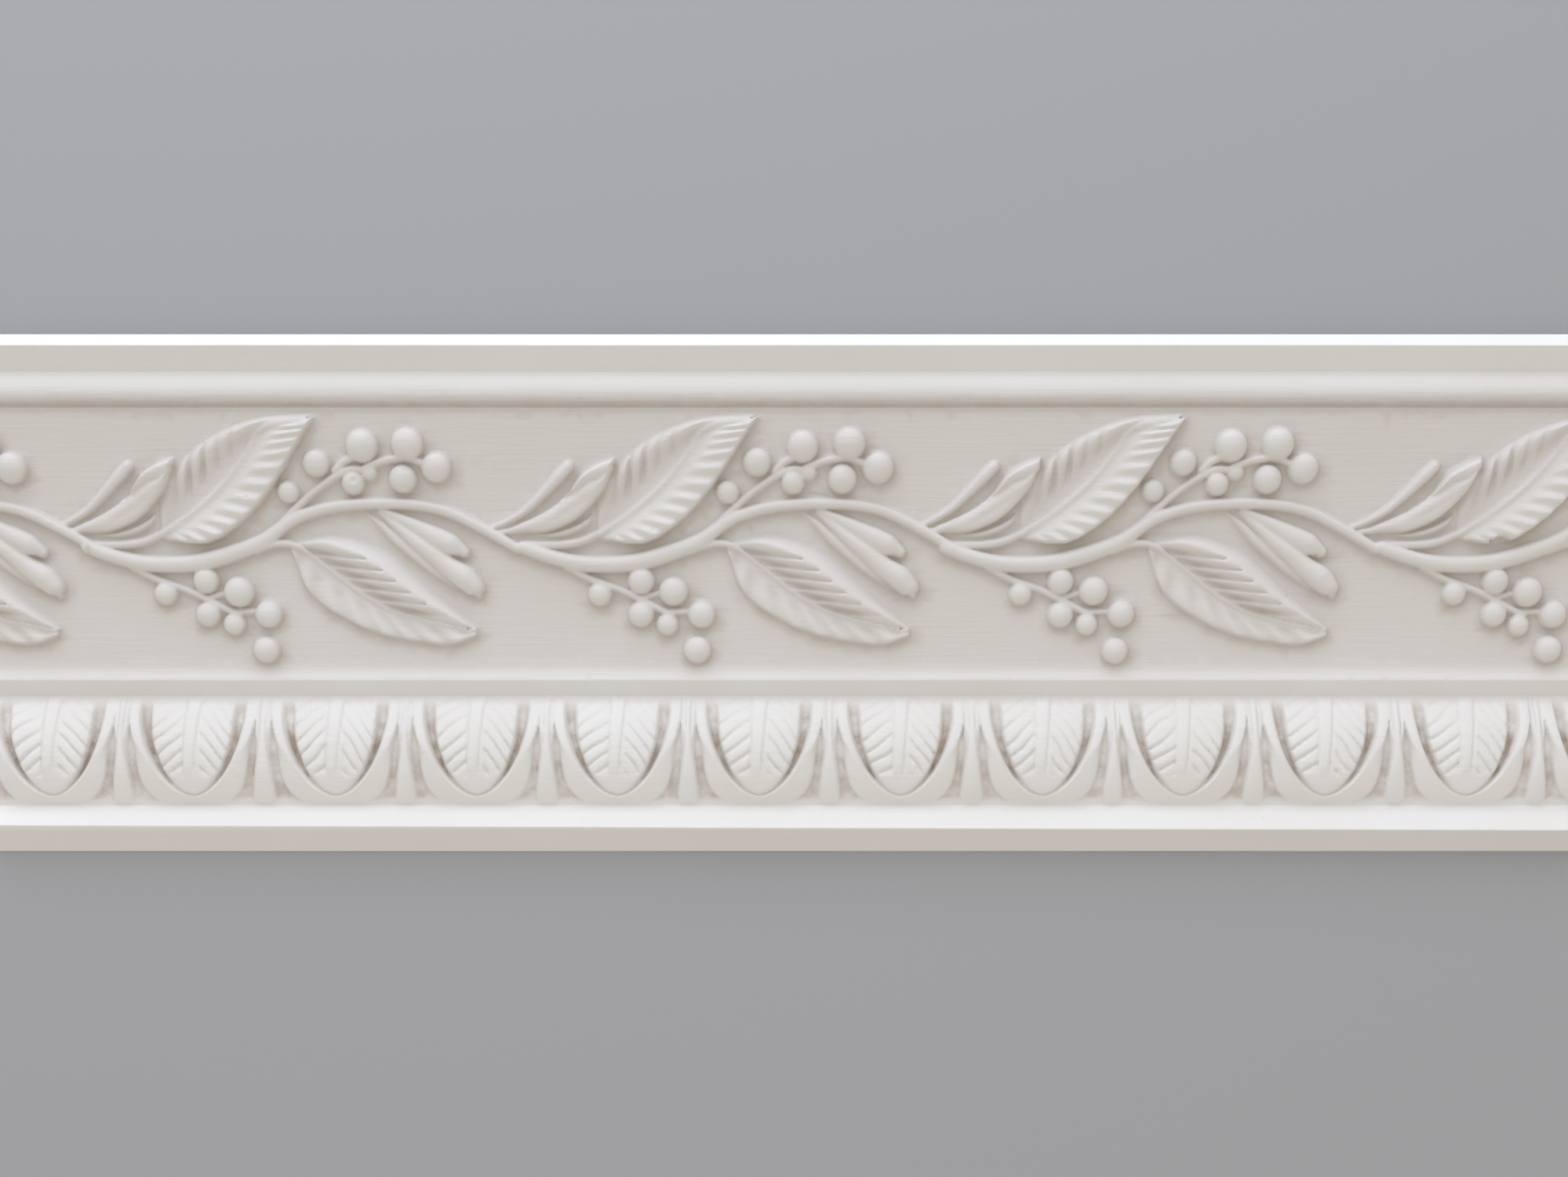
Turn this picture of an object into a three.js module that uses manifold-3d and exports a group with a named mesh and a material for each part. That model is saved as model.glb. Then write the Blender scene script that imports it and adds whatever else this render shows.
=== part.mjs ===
import * as THREE from 'three';
import { mergeVertices } from 'three/addons/utils/BufferGeometryUtils.js';
import Module from 'manifold-3d';

const wasm = await Module();
wasm.setup();

// Enriched plaster cornice for the corner between a wall and a ceiling.
// X runs along the wall, the room is on the -Y side and +Z is up.
// The origin is the middle of the flat bed that goes against the wall.

// Driving dimensions, millimetres and degrees.
const length = 488;
const wallBedHeight = 28;
const ceilingBedWidth = 44;

// Members of the profile, from the ceiling edge down to the wall.
const topFasciaHeight = 5;
const topSoffitDepth = 10.3;
const rollRadius = 6.9;
const rollSweep = 93;
const friezeGirth = 83;
const friezeHeadAngle = 71;
const friezeFootAngle = 56;
const lipRadius = 9.6;
const lipEndAngle = 30;
const filletDepth = 7.1;
const bandRadius = 23.9;
const bandSink = 2.7;
const footFasciaHeight = 9.1;
const footSoffitDepth = 11.2;

// Vine on the frieze. Its drawing is a view from in front of a place to the right of the repeat,
// given by nearness, so what stands nearer than the stem joint moves towards that place.
const vineRepeat = 130.3;
const vineStart = 33.3;
const handShift = 1.1;
const nearness = { across: 161, down: 54, share: 0.00032, rise: 0.5 };
const stemRelief = 3.6;
const twigRelief = 2.8;
const budRelief = 5.2;
const berryRise = 1.35;
const upperLeafForm = { crests: [0.6, 0.25], heights: [5, 3.6, 2.6], groove: 1.2 };
const lowerLeafForm = { crests: [0.5, 0.55], heights: [3.2, 2.4, 5], groove: 1.2 };

// Leaf and dart on the band.
const bandRepeat = 43.6;
const bandStart = 61.9;
const ringRelief = 1.1;
const bandLeafForm = { crests: [0.45, 0.45], heights: [0.95, 1.1, 0.95], groove: 0.35 };

// A ridge keeps the crest share of its width flat on top. Every carved piece is rooted this deep
// in the ground behind it, and the run is cast longer than its length and sawn square.
const crestShare = 0.45;
const root = 1.2;
const sawAllowance = 12;

const paintedPlaster = new THREE.MeshStandardMaterial({ color: '#e4e0d8', roughness: 0.62, metalness: 0 });

// The profile is walked from the ceiling edge. A heading of 0 degrees runs straight down,
// and 90 runs level towards the wall.
function walkProfile() {
  const points = [new THREE.Vector2(0, 0)];
  const marks = {};
  const last = () => points[points.length - 1];
  const radians = THREE.MathUtils.degToRad;
  const step = (run, heading) => {
    const move = new THREE.Vector2(Math.sin(radians(heading)), Math.cos(radians(heading)));
    points.push(last().clone().addScaledVector(move, run));
  };
  const bend = (girth, from, to, steps) => {
    for (let i = 0; i < steps; i += 1) {
      step(girth / steps, from + (to - from) * (i + 0.5) / steps);
    }
  };
  step(topFasciaHeight, 0);
  step(topSoffitDepth, 90);
  bend(rollRadius * radians(rollSweep), 0, rollSweep, 8);
  marks.friezeHead = last();
  bend(friezeGirth, friezeHeadAngle, friezeFootAngle, 3);
  marks.friezeFoot = last();
  bend(lipRadius * radians(friezeFootAngle - lipEndAngle), friezeFootAngle, lipEndAngle, 2);
  step(filletDepth, 90);
  marks.bandHead = last();
  const fullBulge = bandRadius * (1 - Math.SQRT1_2);
  const halfChord = bandRadius * Math.SQRT1_2;
  const flattening = THREE.MathUtils.radToDeg(2 * Math.atan((fullBulge - bandSink) / halfChord));
  const bedGirth = 2 * radians(flattening) * halfChord / Math.sin(radians(flattening));
  bend(bedGirth, 45 - flattening, 45 + flattening, 5);
  marks.bandFoot = last();
  step(footFasciaHeight, 0);
  step(footSoffitDepth, 90);
  return { points, marks };
}

// Points of the walk are (inwards, down) from the ceiling edge. On the slope that faces the
// room at 45 degrees, u is the distance down the slope and w stands out square to it.
const { points: walk, marks } = walkProfile();
const projection = walk[walk.length - 1].x;
const drop = walk[walk.length - 1].y;
const slopeU = (point) => (point.x + point.y) * Math.SQRT1_2;
const slopeW = (point) => (point.y - point.x) * Math.SQRT1_2;
const friezeHead = slopeU(marks.friezeHead);
const friezeSpan = slopeU(marks.friezeFoot) - friezeHead;
const bandHead = slopeU(marks.bandHead);
const bandSpan = slopeU(marks.bandFoot) - bandHead;

function ground(u) {
  let i = 1;
  while (i < walk.length - 1 && slopeU(walk[i]) < u) i += 1;
  const share = (u - slopeU(walk[i - 1])) / (slopeU(walk[i]) - slopeU(walk[i - 1]));
  return THREE.MathUtils.lerp(slopeW(walk[i - 1]), slopeW(walk[i]), share);
}

// A point of the room from its place along the length, down the slope and out of the slope.
function roomPoint(x, u, w) {
  const out = projection - (u - w) * Math.SQRT1_2;
  const up = drop - wallBedHeight / 2 - (u + w) * Math.SQRT1_2;
  return new THREE.Vector3(x, -out, up);
}

function toSolid(geometry) {
  geometry.deleteAttribute('normal');
  geometry.deleteAttribute('uv');
  const merged = mergeVertices(geometry, 1e-4);
  const vertProperties = new Float32Array(merged.attributes.position.array);
  const triVerts = new Uint32Array(merged.index.array);
  return new wasm.Manifold(new wasm.Mesh({ numProp: 3, vertProperties, triVerts }));
}

function toGeometry(solid) {
  const mesh = solid.getMesh();
  const geometry = new THREE.BufferGeometry();
  geometry.setAttribute('position', new THREE.BufferAttribute(mesh.vertProperties, 3));
  geometry.setIndex(new THREE.BufferAttribute(mesh.triVerts, 1));
  geometry.computeVertexNormals();
  return geometry;
}

// Moves every vertex of a closed three.js geometry by a function of its own coordinates.
function reshape(geometry, place) {
  const position = geometry.attributes.position;
  for (let i = 0; i < position.count; i += 1) {
    const point = place(position.getX(i), position.getY(i), position.getZ(i));
    position.setXYZ(i, point.x, point.y, point.z);
  }
  return toSolid(geometry);
}

const curve = (places) => new THREE.CatmullRomCurve3(places.map(([a, b]) => new THREE.Vector3(a, b, 0)));

// A ridge along a curve, with a flat crest and sloping flanks. Places and half widths are in
// millimetres on the drawing, and the half widths run evenly from the first end to the last.
function ridge(places, halfWidths, height, steps, map) {
  const path = curve(places);
  const width = curve(halfWidths.map((value, i) => [i, value]));
  const section = new THREE.CylinderGeometry(Math.SQRT2, Math.SQRT2, 1, 4, steps, false, Math.PI / 4);
  return reshape(section, (x, y, z) => {
    const t = THREE.MathUtils.clamp(y + 0.5, 0, 1);
    const middle = path.getPoint(t);
    const along = path.getTangent(t);
    const half = width.getPoint(t).y * x * (z > 0 ? crestShare : 1);
    return map([middle.x - along.y * half, middle.y + along.x * half], z > 0 ? height : -root);
  });
}

// A leaf between two edge curves with a rib between them. Its edges dip below the ground, the
// crest of each half stands at a share of the way to the rib, and every other step is a groove.
function blade({ first, rib, second }, { crests, heights, groove }, steps, map) {
  const curves = [curve(first), curve(rib), curve(second)];
  const across = [0, crests[0], 1, 2 - crests[1], 2];
  return reshape(new THREE.BoxGeometry(1, 1, 1, 4, 1, steps), (x, y, z) => {
    const t = THREE.MathUtils.clamp(z + 0.5, 0, 1);
    const station = Math.round(4 * (x + 0.5));
    const side = station < 2 ? 0 : 1;
    const place = curves[side].getPoint(t).lerp(curves[side + 1].getPoint(t), across[station] - side);
    const edge = station % 4 === 0;
    const sunk = Math.round(t * steps) % 2 ? groove * (station % 2) : 0;
    const ends = Math.min(1, 0.4 + 4 * t, 0.4 + 4 * (1 - t));
    const height = edge ? -root / 2 : (heights[station - 1] - sunk) * ends;
    return map([place.x, place.y], y > 0 ? height : -root);
  });
}

// Places on the vine drawing are in percent, along the repeat and down the frieze. Half widths
// and the radius of each berry are in percent of the frieze.
const vineStem = {
  path: [[0, 54.1], [8.5, 58.6], [22, 60.4], [34.7, 55.9], [42.8, 49.2], [58, 38.4], [70.8, 37.2],
    [82.5, 39.6], [92.4, 47.1], [101, 55.4]],
  halfWidths: [2.6, 3.2, 3.5, 3.2, 2.4, 2.2, 2.1, 2.1, 2.1, 2.6],
  steps: 12,
};
const vineTwigs = [
  { path: [[0.7, 52], [7.6, 52.9], [13.9, 51.7], [19, 48]], halfWidths: [1.7, 1.5], steps: 3 },
  { path: [[40, 54], [47.7, 40.5], [54.5, 30.3], [65.7, 24.9]], halfWidths: [1.6, 1.4], steps: 4 },
  { path: [[57.2, 24.9], [61.7, 18]], halfWidths: [1.4, 1.4], steps: 1 },
  { path: [[64, 24.5], [70.8, 20.7], [78.9, 21.9]], halfWidths: [1.5, 1.4], steps: 2 },
  { path: [[10.5, 61], [21.1, 68.5], [35.6, 80.5]], halfWidths: [1.5, 1.5], steps: 3 },
  { path: [[40, 54], [46.4, 52.4], [52.5, 57.2]], halfWidths: [1.6, 1.5], steps: 2 },
  { path: [[65, 41.4], [81.6, 66.1], [88.3, 71.8]], halfWidths: [1.2, 1.3, 0.8], steps: 3 },
  { path: [[69, 41.4], [79, 53.5], [87.5, 64], [92.5, 73.7]], halfWidths: [1.4, 2.6, 4.4, 0.6], steps: 4 },
  { path: [[72, 41], [83.4, 48.6], [90.3, 57.5]], halfWidths: [1.5, 3.2, 0.8], steps: 3 },
];
const cutTwig = { path: [[-4.2, 45.3], [1.3, 38.4], [9.9, 21]], halfWidths: [1.1, 2, 2.5], steps: 3 };
const berries = [
  [47.1, 32.7, 4.5], [53.6, 21.9, 5.4], [64.1, 15.9, 6.2], [74.9, 14.7, 6.2], [81.6, 24, 6],
  [73.5, 27.9, 5.6], [62.1, 29.7, 4.7], [28, 67, 5.3], [18.6, 72.1, 4.8], [35.6, 71.2, 5.9],
  [42.4, 79.9, 5.4], [28.5, 80.2, 5.1], [34.8, 84.1, 4.5], [42.1, 94, 5.4],
];
const foldedLeaf = {
  first: [[-0.7, 49.6], [7.6, 47.5], [16.8, 38.6], [21.2, 23.4]],
  rib: [[-1.8, 46.8], [7.6, 39.9], [20.8, 21.6]],
  second: [[-3, 44.5], [5.8, 35.6], [13, 25.7], [20.6, 19.5]],
};
const upperLeaf = {
  first: [[17.9, 51], [24.7, 54.2], [37.2, 44.9], [44.6, 29.7], [52, 11.4], [53.6, 5.6]],
  rib: [[17.5, 48.9], [25.6, 39.9], [33.2, 27.3], [40.4, 10.5], [53.1, 4.8]],
  second: [[16.8, 48.6], [15.6, 41.4], [19.4, 25.2], [28.9, 11.6], [40.1, 5], [53.1, 3.5]],
};
const lowerLeaf = {
  first: [[47.5, 56.4], [48.6, 66], [55, 77.6], [67.1, 88.7], [79.8, 93], [91.4, 89.6]],
  rib: [[48.7, 54.1], [52.7, 56.8], [63.2, 70.6], [74.4, 80.5], [91, 86.5]],
  second: [[48.7, 52], [57.2, 48], [66.4, 53.4], [75.2, 63.9], [91.4, 85]],
};

function vinePieces(start) {
  const onDrawing = ([a, b]) => [
    (a + (nearness.across - a) * (nearness.down - b) * nearness.share) * vineRepeat / 100,
    (b - nearness.rise) * friezeSpan / 100,
  ];
  const ofFrieze = (share) => share * friezeSpan / 100;
  const map = ([x, down], height) => {
    const u = friezeHead + down;
    return roomPoint(start + x, u, ground(u) + height);
  };
  const stem = ({ path, halfWidths, steps }, height) => (
    ridge(path.map(onDrawing), halfWidths.map(ofFrieze), height, steps, map)
  );
  const leaf = ({ first, rib, second }, form, steps) => {
    const drawn = {
      first: first.map(onDrawing),
      rib: rib.map(onDrawing),
      second: second.map(onDrawing),
    };
    return blade(drawn, form, steps, map);
  };
  const berry = ([a, b, size]) => {
    const radius = ofFrieze(size);
    const [x, down] = onDrawing([a, b]);
    const top = ground(friezeHead + down) + radius * berryRise;
    return reshape(new THREE.SphereGeometry(1, 6, 3), (sx, sy, sz) => {
      const spread = radius * (sy > 0 ? 0.85 : 1.1);
      const place = [x + sx * spread, down + sz * spread];
      const crown = roomPoint(start + place[0], friezeHead + place[1], top - radius * (1 - sy));
      return sy > 0 ? crown : map(place, -root);
    });
  };
  return [
    stem(vineStem, stemRelief),
    ...vineTwigs.map((twig) => stem(twig, twigRelief)),
    stem(cutTwig, budRelief),
    ...berries.map(berry),
    leaf(foldedLeaf, { crests: [0.4, 0.4], heights: [budRelief, budRelief / 2, budRelief], groove: 0 }, 3),
    leaf(upperLeaf, upperLeafForm, 10),
    leaf(lowerLeaf, lowerLeafForm, 10),
  ];
}

// Places on one leaf-and-dart unit are in percent, off its axis along the repeat and down the band.
// A relief of 1 reaches the full quarter round and 0 stays on the sunk ground.
const ringSide = [[39.4, 3], [39.2, 27], [36.6, 46], [30.2, 65], [18, 83.5]];
const bandLeafEdge = [[31, 1], [30.6, 27], [26, 48], [18, 70], [6, 86.5]];
const bandLeafRib = [[0, 1], [0, 9], [0, 27], [0, 52], [0, 84]];
const mirror = (places) => places.map(([a, b]) => [-a, b]);

function bandPieces(axis) {
  const onDrawing = ([a, b]) => [a * bandRepeat / 100, b * bandSpan / 100];
  const ofBand = (share) => share * bandRepeat / 100;
  const halfChord = bandRadius * Math.SQRT1_2;
  const map = ([x, down], relief) => {
    const u = bandHead + THREE.MathUtils.clamp(down, 0, bandSpan);
    const offMiddle = (u - bandHead) - halfChord;
    const bulge = Math.sqrt(bandRadius ** 2 - offMiddle ** 2) - halfChord;
    const full = ground(bandHead) + bulge - ground(u);
    return roomPoint(axis + x, u, ground(u) + (relief > 0 ? relief * full : relief));
  };
  const ring = [...mirror(ringSide), [0, 93], ...ringSide.slice().reverse()];
  const dart = [[50, 2], [50, 45], [50, 70], [50, 98]];
  const leaf = {
    first: mirror(bandLeafEdge).map(onDrawing),
    rib: bandLeafRib.map(onDrawing),
    second: bandLeafEdge.map(onDrawing),
  };
  return [
    ridge(ring.map(onDrawing), [4.2, 6, 6, 4.2].map(ofBand), ringRelief, 8, map),
    ridge(dart.map(onDrawing), [3, 3, 5.5, 5.5].map(ofBand), ringRelief, 3, map),
    blade(leaf, bandLeafForm, 6, map),
  ];
}

// The plain run of the profile with its two flat beds and a splayed back.
function plainRun() {
  const top = drop - wallBedHeight / 2;
  const shape = new THREE.Shape();
  walk.forEach((point, i) => {
    const place = [point.x - projection, top - point.y];
    if (i === 0) shape.moveTo(...place);
    else shape.lineTo(...place);
  });
  shape.lineTo(0, wallBedHeight / 2);
  shape.lineTo(ceilingBedWidth - projection, top);
  const run = length + 2 * sawAllowance;
  const geometry = new THREE.ExtrudeGeometry(shape, { depth: run, bevelEnabled: false });
  const alongX = new THREE.Matrix4().makeBasis(
    new THREE.Vector3(0, 1, 0),
    new THREE.Vector3(0, 0, 1),
    new THREE.Vector3(1, 0, 0),
  );
  geometry.applyMatrix4(alongX);
  geometry.translate(-run / 2, 0, 0);
  return toSolid(geometry);
}

function corniceMoulding() {
  let solid = plainRun();
  const vineCount = Math.ceil(length / vineRepeat) + 1;
  for (let i = 0; i < vineCount; i += 1) {
    const shift = i % 2 ? -handShift : handShift;
    const start = -length / 2 + vineStart + (i - 1) * vineRepeat + shift;
    vinePieces(start).forEach((piece) => { solid = solid.add(piece); });
  }
  const bandCount = Math.ceil(length / bandRepeat) + 2;
  for (let i = 0; i < bandCount; i += 1) {
    const axis = -length / 2 + bandStart + (i - 2) * bandRepeat;
    bandPieces(axis).forEach((piece) => { solid = solid.add(piece); });
  }
  const saw = toSolid(new THREE.BoxGeometry(length, 4 * projection, 4 * drop));
  return new THREE.Mesh(toGeometry(solid.intersect(saw)), paintedPlaster);
}

const cornice = new THREE.Group();
const moulding = corniceMoulding();
moulding.name = 'cornice_moulding';
cornice.add(moulding);

export default cornice;
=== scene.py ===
import math
import bpy
import numpy as np
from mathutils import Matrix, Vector


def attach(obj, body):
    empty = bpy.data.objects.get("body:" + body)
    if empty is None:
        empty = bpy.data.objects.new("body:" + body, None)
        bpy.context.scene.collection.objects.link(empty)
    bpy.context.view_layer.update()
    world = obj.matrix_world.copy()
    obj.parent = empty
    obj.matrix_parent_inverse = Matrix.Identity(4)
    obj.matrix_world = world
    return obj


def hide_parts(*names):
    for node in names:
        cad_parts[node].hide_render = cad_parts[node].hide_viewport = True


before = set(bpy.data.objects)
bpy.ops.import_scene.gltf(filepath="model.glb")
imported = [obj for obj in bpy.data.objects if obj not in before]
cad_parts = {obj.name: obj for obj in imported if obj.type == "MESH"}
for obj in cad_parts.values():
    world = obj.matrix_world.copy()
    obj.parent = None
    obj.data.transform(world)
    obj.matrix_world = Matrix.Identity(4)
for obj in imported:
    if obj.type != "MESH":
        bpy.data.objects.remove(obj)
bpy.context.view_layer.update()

# Lengths are in millimetres and angles in degrees until the mesh is made in metres.
mm = 0.001
dice = np.random.default_rng(14)

# Members of the profile from the ceiling edge down to the wall. A heading of 0 runs straight
# down and 90 runs level towards the wall. Every arris is softened by paint.
profile = {
    "length": 488.0,
    "topFascia": 5.0,
    "topSoffit": 10.3,
    "rollRadius": 6.9,
    "rollSweep": 93.0,
    "friezeGirth": 83.0,
    "friezeHead": 71.0,
    "friezeFoot": 56.0,
    "lipRadius": 9.6,
    "lipEnd": 30.0,
    "fillet": 7.1,
    "bandRadius": 23.9,
    "bandSink": 2.7,
    "footFascia": 9.1,
    "footSoffit": 11.2,
    "wallBed": 28.0,
    "ceilingBed": 44.0,
    "quirk": (1.0, 0.62),
    "arris": 0.22,
    "footTaper": 0.95,
}


def walkProfile(step=0.05):
    # Integrates the heading along the girth, then averages the places over the arris width.
    p = profile
    halfChord = p["bandRadius"] * math.sqrt(0.5)
    fullBulge = p["bandRadius"] - halfChord
    flat = 2 * math.atan((fullBulge - p["bandSink"]) / halfChord)
    bandGirth = 2 * flat * halfChord / math.sin(flat)
    flat = math.degrees(flat)
    rollGirth = p["rollRadius"] * math.radians(p["rollSweep"])
    lipGirth = p["lipRadius"] * math.radians(p["friezeFoot"] - p["lipEnd"])
    members = [
        ("fascia", p["topFascia"], 0, 0),
        ("soffit", p["topSoffit"], 90, 90),
        ("roll", rollGirth, 0, p["rollSweep"]),
        ("frieze", p["friezeGirth"], p["friezeHead"], p["friezeFoot"]),
        ("lip", lipGirth, p["friezeFoot"], p["lipEnd"]),
        ("fillet", p["fillet"], 90, 90),
        ("band", bandGirth, 45 - flat, 45 + flat),
        ("footFascia", p["footFascia"], 0, 0),
        ("footSoffit", p["footSoffit"], 90, 90),
    ]
    starts = np.cumsum([0] + [m[1] for m in members])
    count = int(round(starts[-1] / step))
    middle = (np.arange(count) + 0.5) * starts[-1] / count
    member = np.searchsorted(starts, middle, side="right") - 1
    girths, first, last = np.array([m[1:] for m in members]).T
    share = (middle - starts[member]) / girths[member]
    heading = np.radians(first[member] + share * (last[member] - first[member]))
    moves = np.stack([np.sin(heading), np.cos(heading)], 1) * starts[-1] / count
    places = np.vstack([[0, 0], np.cumsum(moves, 0)])
    reach = int(4 * p["arris"] / step)
    weights = np.exp(-0.5 * (np.arange(-reach, reach + 1) * step / p["arris"]) ** 2)
    weights /= weights.sum()
    before = places[0] - (places[reach:0:-1] - places[0])
    after = 2 * places[-1] - places[-2:-reach - 2:-1]
    padded = np.vstack([before, places, after])
    smooth = np.stack([np.convolve(padded[:, k], weights, "valid") for k in (0, 1)], 1)
    along = np.linspace(0, starts[-1], count + 1)
    marks = dict(zip([m[0] for m in members] + ["end"], starts))
    return along, smooth, places, marks


along, walk, sharpWalk, marks = walkProfile()
projection, drop = sharpWalk[-1]
root2 = math.sqrt(0.5)


def slopePlace(girth, source):
    # Distance down the 45 degree slope that faces the room, and the distance out of it.
    inwards = np.interp(girth, along, source[:, 0])
    down = np.interp(girth, along, source[:, 1])
    return (inwards + down) * root2, (down - inwards) * root2


def roomPlace(x, u, w):
    # Room coordinates of a place given along the length, down the slope and out of it.
    out = projection - (u - w) * root2
    up = drop - profile["wallBed"] / 2 - (u + w) * root2
    return np.stack([np.broadcast_to(x, out.shape), -out, up], -1)


friezeHead = slopePlace(marks["frieze"], sharpWalk)[0]
friezeSpan = slopePlace(marks["lip"], sharpWalk)[0] - friezeHead
bandHead, bandHeadOut = slopePlace(marks["band"], sharpWalk)
bandSpan = slopePlace(marks["footFascia"], sharpWalk)[0] - bandHead
print("profile walked:", round(projection, 2), "by", round(drop, 2), "mm")

# Carved parts are modelled on a fine grid, plain members on every eighth column of it.
grid = {"spacing": 0.42, "coarse": 8, "triangles": 195000, "soften": 0.55}


def smoothStep(low, high, value):
    # 0 below low, 1 above high, with a soft S between them.
    share = np.clip((value - low) / (high - low), 0, 1)
    return share * share * (3 - 2 * share)


def smoothMax(a, b, blend):
    # The greater of two heights, filleted where they are closer than the blend.
    near = np.clip(1 - np.abs(a - b) / blend, 0, 1)
    return np.maximum(a, b) + blend * near ** 2 / 4


def curveThrough(places, count=33):
    # Cubic spans through the places, each leaving along the line between its neighbours.
    p = np.asarray(places, float)
    p = np.vstack([2 * p[0] - p[1], p, 2 * p[-1] - p[-2]])
    t = np.linspace(0, len(places) - 1, count)
    k = np.minimum(t.astype(int), len(places) - 2)
    f = (t - k)[:, None]
    a, b, c, d = p[k], p[k + 1], p[k + 2], p[k + 3]
    return 0.5 * (2 * b + (c - a) * f + (2 * a - 5 * b + 4 * c - d) * f ** 2
                  + (3 * b - a - 3 * c + d) * f ** 3)


def profileOf(value, stops):
    # Height read off a list of (share, height) stops with soft spans between them.
    at, height = np.array(stops, float).T
    k = np.clip(np.searchsorted(at, value, side="right") - 1, 0, len(at) - 2)
    f = np.clip((value - at[k]) / (at[k + 1] - at[k]), 0, 1)
    slope = np.gradient(height, at)
    span = at[k + 1] - at[k]
    return ((2 * f ** 3 - 3 * f ** 2 + 1) * height[k] + (f ** 3 - 2 * f ** 2 + f) * span * slope[k]
            + (3 * f ** 2 - 2 * f ** 3) * height[k + 1] + (f ** 3 - f ** 2) * span * slope[k + 1])


def softNoise(x, y, size, seed):
    # Random heights on a square lattice of the given size, joined by S-shaped blends.
    lattice = np.random.default_rng(seed).uniform(-1, 1, (256, 256))
    gx, gy = x / size[0] + 91.3, y / size[1] + 37.7
    ix, iy = np.floor(gx).astype(int), np.floor(gy).astype(int)
    fx, fy = gx - ix, gy - iy
    fx, fy = fx * fx * (3 - 2 * fx), fy * fy * (3 - 2 * fy)
    pick = lambda a, b: lattice[(ix + a) % 256, (iy + b) % 256]
    low = pick(0, 0) * (1 - fx) + pick(1, 0) * fx
    high = pick(0, 1) * (1 - fx) + pick(1, 1) * fx
    return low * (1 - fy) + high * fy


def nearCurve(x, y, path):
    # Nearest place on a path: how far off it is, and its share of the way along.
    start, step = path[:-1], np.diff(path, axis=0)
    px, py = x[..., None] - start[:, 0], y[..., None] - start[:, 1]
    share = np.clip((px * step[:, 0] + py * step[:, 1]) / (step ** 2).sum(1), 0, 1)
    away = (px - share * step[:, 0]) ** 2 + (py - share * step[:, 1]) ** 2
    nearest = away.argmin(-1)[..., None]
    distance = np.sqrt(np.take_along_axis(away, nearest, -1)[..., 0])
    part = np.take_along_axis(share, nearest, -1)[..., 0]
    return distance, (nearest[..., 0] + part) / len(step)


def onHalfLeaf(x, y, rib, edge):
    # Shares along and across a surface ruled from its rib to its edge, the width of the rule
    # there, and whether the place is on it. A place is between two rules when it is on
    # opposite sides of them.
    rib, edge = curveThrough(rib, 61), curveThrough(edge, 61)
    rule = edge - rib
    width = np.sqrt((rule ** 2).sum(1)) + 1e-6
    px, py = x[..., None] - rib[:, 0], y[..., None] - rib[:, 1]
    side = px * rule[:, 1] - py * rule[:, 0]
    across = (px * rule[:, 0] + py * rule[:, 1]) / width ** 2
    between = side[..., :-1] * side[..., 1:] <= 0
    between &= (across[..., :-1] > -0.3) & (across[..., :-1] < 1.3)
    k = between.argmax(-1)[..., None]
    at = lambda values, shift: np.take_along_axis(values, k + shift, -1)[..., 0]
    s0, s1 = at(side, 0), at(side, 1)
    f = np.clip(s0 / np.where(np.abs(s0 - s1) < 1e-9, 1e-9, s0 - s1), 0, 1)
    t = (k[..., 0] + f) / (len(rib) - 1)
    v = at(across, 0) * (1 - f) + at(across, 1) * f
    return t, v, width[k[..., 0]], between.any(-1)


outside = -4.0
wallSlope = 5.6


def strand(x, y, path, halfWidths, lift, crown=1.0):
    # Half-round ridge: its lift plus a round crown over its half width, with steep feet.
    distance, share = nearCurve(x, y, curveThrough(path, 41))
    half = np.interp(share, np.linspace(0, 1, len(halfWidths)), halfWidths)
    rise = np.interp(share, np.linspace(0, 1, len(np.atleast_1d(lift))), np.atleast_1d(lift))
    rise = rise * np.clip(half / 1.2, 0.25, 1)
    over = crown * np.sqrt(np.maximum(half ** 2 - distance ** 2, 0))
    foot = rise - (distance - half) * wallSlope
    return np.maximum(np.where(distance < half, rise + over, foot), outside)


def berry(x, y, centre, radius, lift=0.2, crown=0.84):
    # Slightly flattened ball sunk in the ground up to just below its widest place.
    distance = np.hypot(x - centre[0], y - centre[1])
    ball = radius * lift + crown * np.sqrt(np.maximum(radius ** 2 - distance ** 2, 0))
    foot = radius * lift - (distance - radius) * wallSlope
    return np.maximum(np.where(distance < radius, ball, foot), outside)


def dimple(x, y, centre, radius, depth):
    # Round pit with a soft rim.
    distance = np.hypot(x - centre[0], y - centre[1]) / radius
    return -depth * np.exp(-distance ** 2 * 1.6) + 0.18 * depth * np.exp(-((distance - 1.35) / 0.45) ** 2)


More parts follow.
